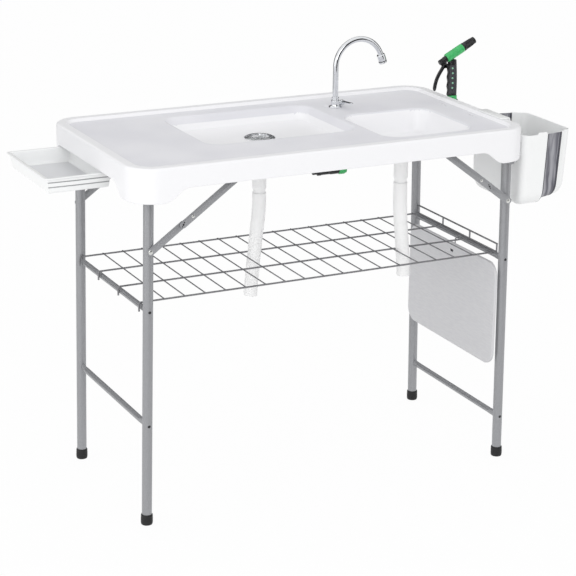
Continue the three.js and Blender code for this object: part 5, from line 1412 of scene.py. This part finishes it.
def band_row(share, grow=0.0, closing=False):
    """One loop of the soft band at a share of the way out, with slanting folds pressed into it. A
    closing row lies along the middle of the wall and shuts the band's end."""
    half = bucket.join + (bucket.band - bucket.join) * share
    low = bucket.low + bucket.rise * share
    outer = u_section(half, low, -grow, FOLDS.drop)
    run = np.concatenate([[0], np.cumsum(np.linalg.norm(np.diff(outer, axis=0), axis=1))])
    slant = run / FOLDS.pitch - share * FOLDS.slant
    wave = np.abs(((slant + 0.5) % 1) - 0.5) * 2
    ripple = FOLDS.ripple * np.sin(run / FOLDS.ripple_run + FOLDS.ripple_turn * share)
    press = math.sin(math.pi * share) * (FOLDS.even + FOLDS.crease * wave ** 2 + ripple)
    press = press * eased((bucket.high - outer[:, 1] + 8) / FOLDS.fade)
    sink_in = unit(np.array([0, bucket.high - FOLDS.middle_drop]) - outer) * press[:, None]
    inner = u_section(half, low, bucket.band_wall, FOLDS.drop)
    if closing:
        outer = inner = (outer + inner) / 2
    x = x1 + 0.3 + (x2 - x1 - 0.3) * share
    return loop_row(x, x, outer + sink_in, inner + sink_in)


def band_strip(start, end, count, grow=0.0):
    """The band, or a seam that stands out by grow, between two shares of the way out."""
    shares = np.linspace(start, end, count)
    rise = grow * np.sin(np.pi * np.linspace(0, 1, count)) ** 0.5
    rows = [band_row(start, closing=True), *[band_row(s, g) for s, g in zip(shares, rise)],
            band_row(end, closing=True)]
    return tapered(np.stack(rows))


seams = [band_strip(start, end, 7, 0.7) for start, end in ((0.0, 0.07), (0.87, 1.0))]
band_piece = piece("folding_band", {band_rubber_and_sheen: [band_strip(0.0, 1.0, 29)], band_edge: seams}, "bucket",
                   ["bucket_band"])
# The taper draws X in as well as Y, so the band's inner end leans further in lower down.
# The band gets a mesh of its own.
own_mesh(band_piece)

# The clip is a plate over the rim and a strap down the outside of the skirt.
clip = Size(half_x=15.3, half_y=62.0, x=574.4, low=993.3, high=996.3, start=585.3, end=589.7,
            strap_half=35.0, strap_z=961.0)
hook_plate = shut(stacked(rounded_rectangle(clip.half_x, clip.half_y, 7, 6),
                          soft_levels(clip.low, clip.high, 0.9), at=(clip.x, bucket.y)))
strap_plate = shut(stacked(rounded_rectangle(clip.half_y, clip.strap_half, 6, 6),
                           soft_levels(clip.start, clip.end, 0.9), axis="x", at=(bucket.y, clip.strap_z)))
piece("bucket_hook_plate", {tray_white: [hook_plate, strap_plate]}, "bucket",
      ["bucket_clip"])
print(len(made), "pieces made")

# %% [markdown]
# Lighting.
# The photograph was lit softly from all round, a little more from the front and left, on a white
# background. A white world gives the even part of the light, and two large soft lamps give the rest.
# The camera, mirrors and clear things all see plain white. The floor is a pale matt plane. To the
# camera most of it glows white, so that only a faint shadow of the object is left on it.

# %% World, lamps and floor
EVEN_LIGHT, GLOW_SHARE = 0.9, 0.95
CAMERA_AZIMUTH = -26.8
world = bpy.data.worlds.new("studio")
bpy.context.scene.world = world
world.use_nodes = True
world.node_tree.nodes.clear()


def seen_directly(material):
    """One for rays from the camera, and for reflected or refracted ones. Zero for lighting rays."""
    rays = add_node(material, "ShaderNodeLightPath").outputs
    seen = rays["Is Camera Ray"]
    for kind in ("Is Glossy Ray", "Is Transmission Ray"):
        seen = add_node(material, "ShaderNodeMath", {0: seen, 1: rays[kind]}, operation="MAXIMUM").outputs[0]
    return seen


def blend(material, share, low, high, output):
    """The output made of two shaders, going from low to high with the share."""
    mixed = add_node(material, "ShaderNodeMixShader", {0: share, 1: low, 2: high})
    end = add_node(material, output)
    material.node_tree.links.new(mixed.outputs[0], end.inputs["Surface"])


even = add_node(world, "ShaderNodeBackground", Color=linear("#FFFFFF"), Strength=EVEN_LIGHT)
plain = add_node(world, "ShaderNodeBackground", Color=linear("#FFFFFF"), Strength=1.0)
blend(world, seen_directly(world), even.outputs[0], plain.outputs[0], "ShaderNodeOutputWorld")

studio_floor = bpy.data.materials.new("matt_studio_floor")
studio_floor.use_nodes = True
studio_floor.node_tree.nodes.clear()
matt = add_node(studio_floor, "ShaderNodeBsdfDiffuse", Color=linear("#F2F2F2"))
glow = add_node(studio_floor, "ShaderNodeEmission", Color=linear("#FFFFFF"), Strength=1.0)
faint = add_node(studio_floor, "ShaderNodeMath", {0: seen_directly(studio_floor)}, operation="MULTIPLY")
faint.inputs[1].default_value = GLOW_SHARE
blend(studio_floor, faint.outputs[0], matt.outputs[0], glow.outputs[0], "ShaderNodeOutputMaterial")


def staged(name, mesh, material):
    """Links a mesh as stage around the object, and gives it a material."""
    mesh.materials.append(material)
    obj = bpy.data.objects.new(name, mesh)
    bpy.context.scene.collection.objects.link(obj)
    return obj


FLOOR_REACH, FLOOR_HEIGHT = 40000, -0.5
corners = [(a * FLOOR_REACH, b * FLOOR_REACH, FLOOR_HEIGHT) for a, b in ((-1, -1), (1, -1), (1, 1), (-1, 1))]
staged("studio_floor", mesh_of("studio_floor", in_frame(corners), np.array([[0, 1, 2, 3]])), studio_floor)


def soft_lamp(name, place, aim, size, power):
    """A square soft lamp at a place in millimetres, turned to an aim point."""
    data = bpy.data.lights.new(name, "AREA")
    data.size, data.energy = size, power
    lamp = bpy.data.objects.new(name, data)
    place, aim = Vector(in_frame(place)), Vector(in_frame(aim))
    lamp.location = place
    lamp.rotation_euler = (place - aim).to_track_quat("Z", "Y").to_euler()
    bpy.context.scene.collection.objects.link(lamp)


def dark_card(name, azimuth, spread, low, high):
    """A dark upright card for reflections alone, at an azimuth from the camera's side, in degrees."""
    turns = np.radians(CAMERA_AZIMUTH + azimuth + np.linspace(-0.5, 0.5, 9) * spread)
    edge = CARD_DISTANCE * np.stack([np.sin(turns), -np.cos(turns)], axis=-1)
    grid = np.stack([np.column_stack([edge, np.full(9, z)]) for z in (low, high)])
    mesh = mesh_of(name, in_frame(grid.reshape(-1, 3)), grid_faces(2, 9, False, 0))
    card = staged(name, mesh, card_black)
    card.visible_camera = card.visible_diffuse = card.visible_shadow = card.visible_transmission = False


card_black = bpy.data.materials.new("black_card")
card_black.use_nodes = True
card_black.node_tree.nodes["Principled BSDF"].inputs["Base Color"].default_value = linear("#1A1A1C")
CARD_DISTANCE = 4200
CARDS = ((40, 58, 0, 3800), (-70, 16, 300, 3000), (180, 110, 700, 3600), (112, 16, 0, 3000),
         (-132, 46, 0, 3000))
for number, card_places in enumerate(CARDS):
    dark_card(f"reflection_card_{number}", *card_places)
soft_lamp("key_lamp", (-1300, -3900, 2500), (0, 0, 700), 2.4, 34)
soft_lamp("side_lamp", (-3800, -300, 1500), (0, 0, 700), 2.4, 16)
bpy.context.scene.view_settings.view_transform = "Standard"
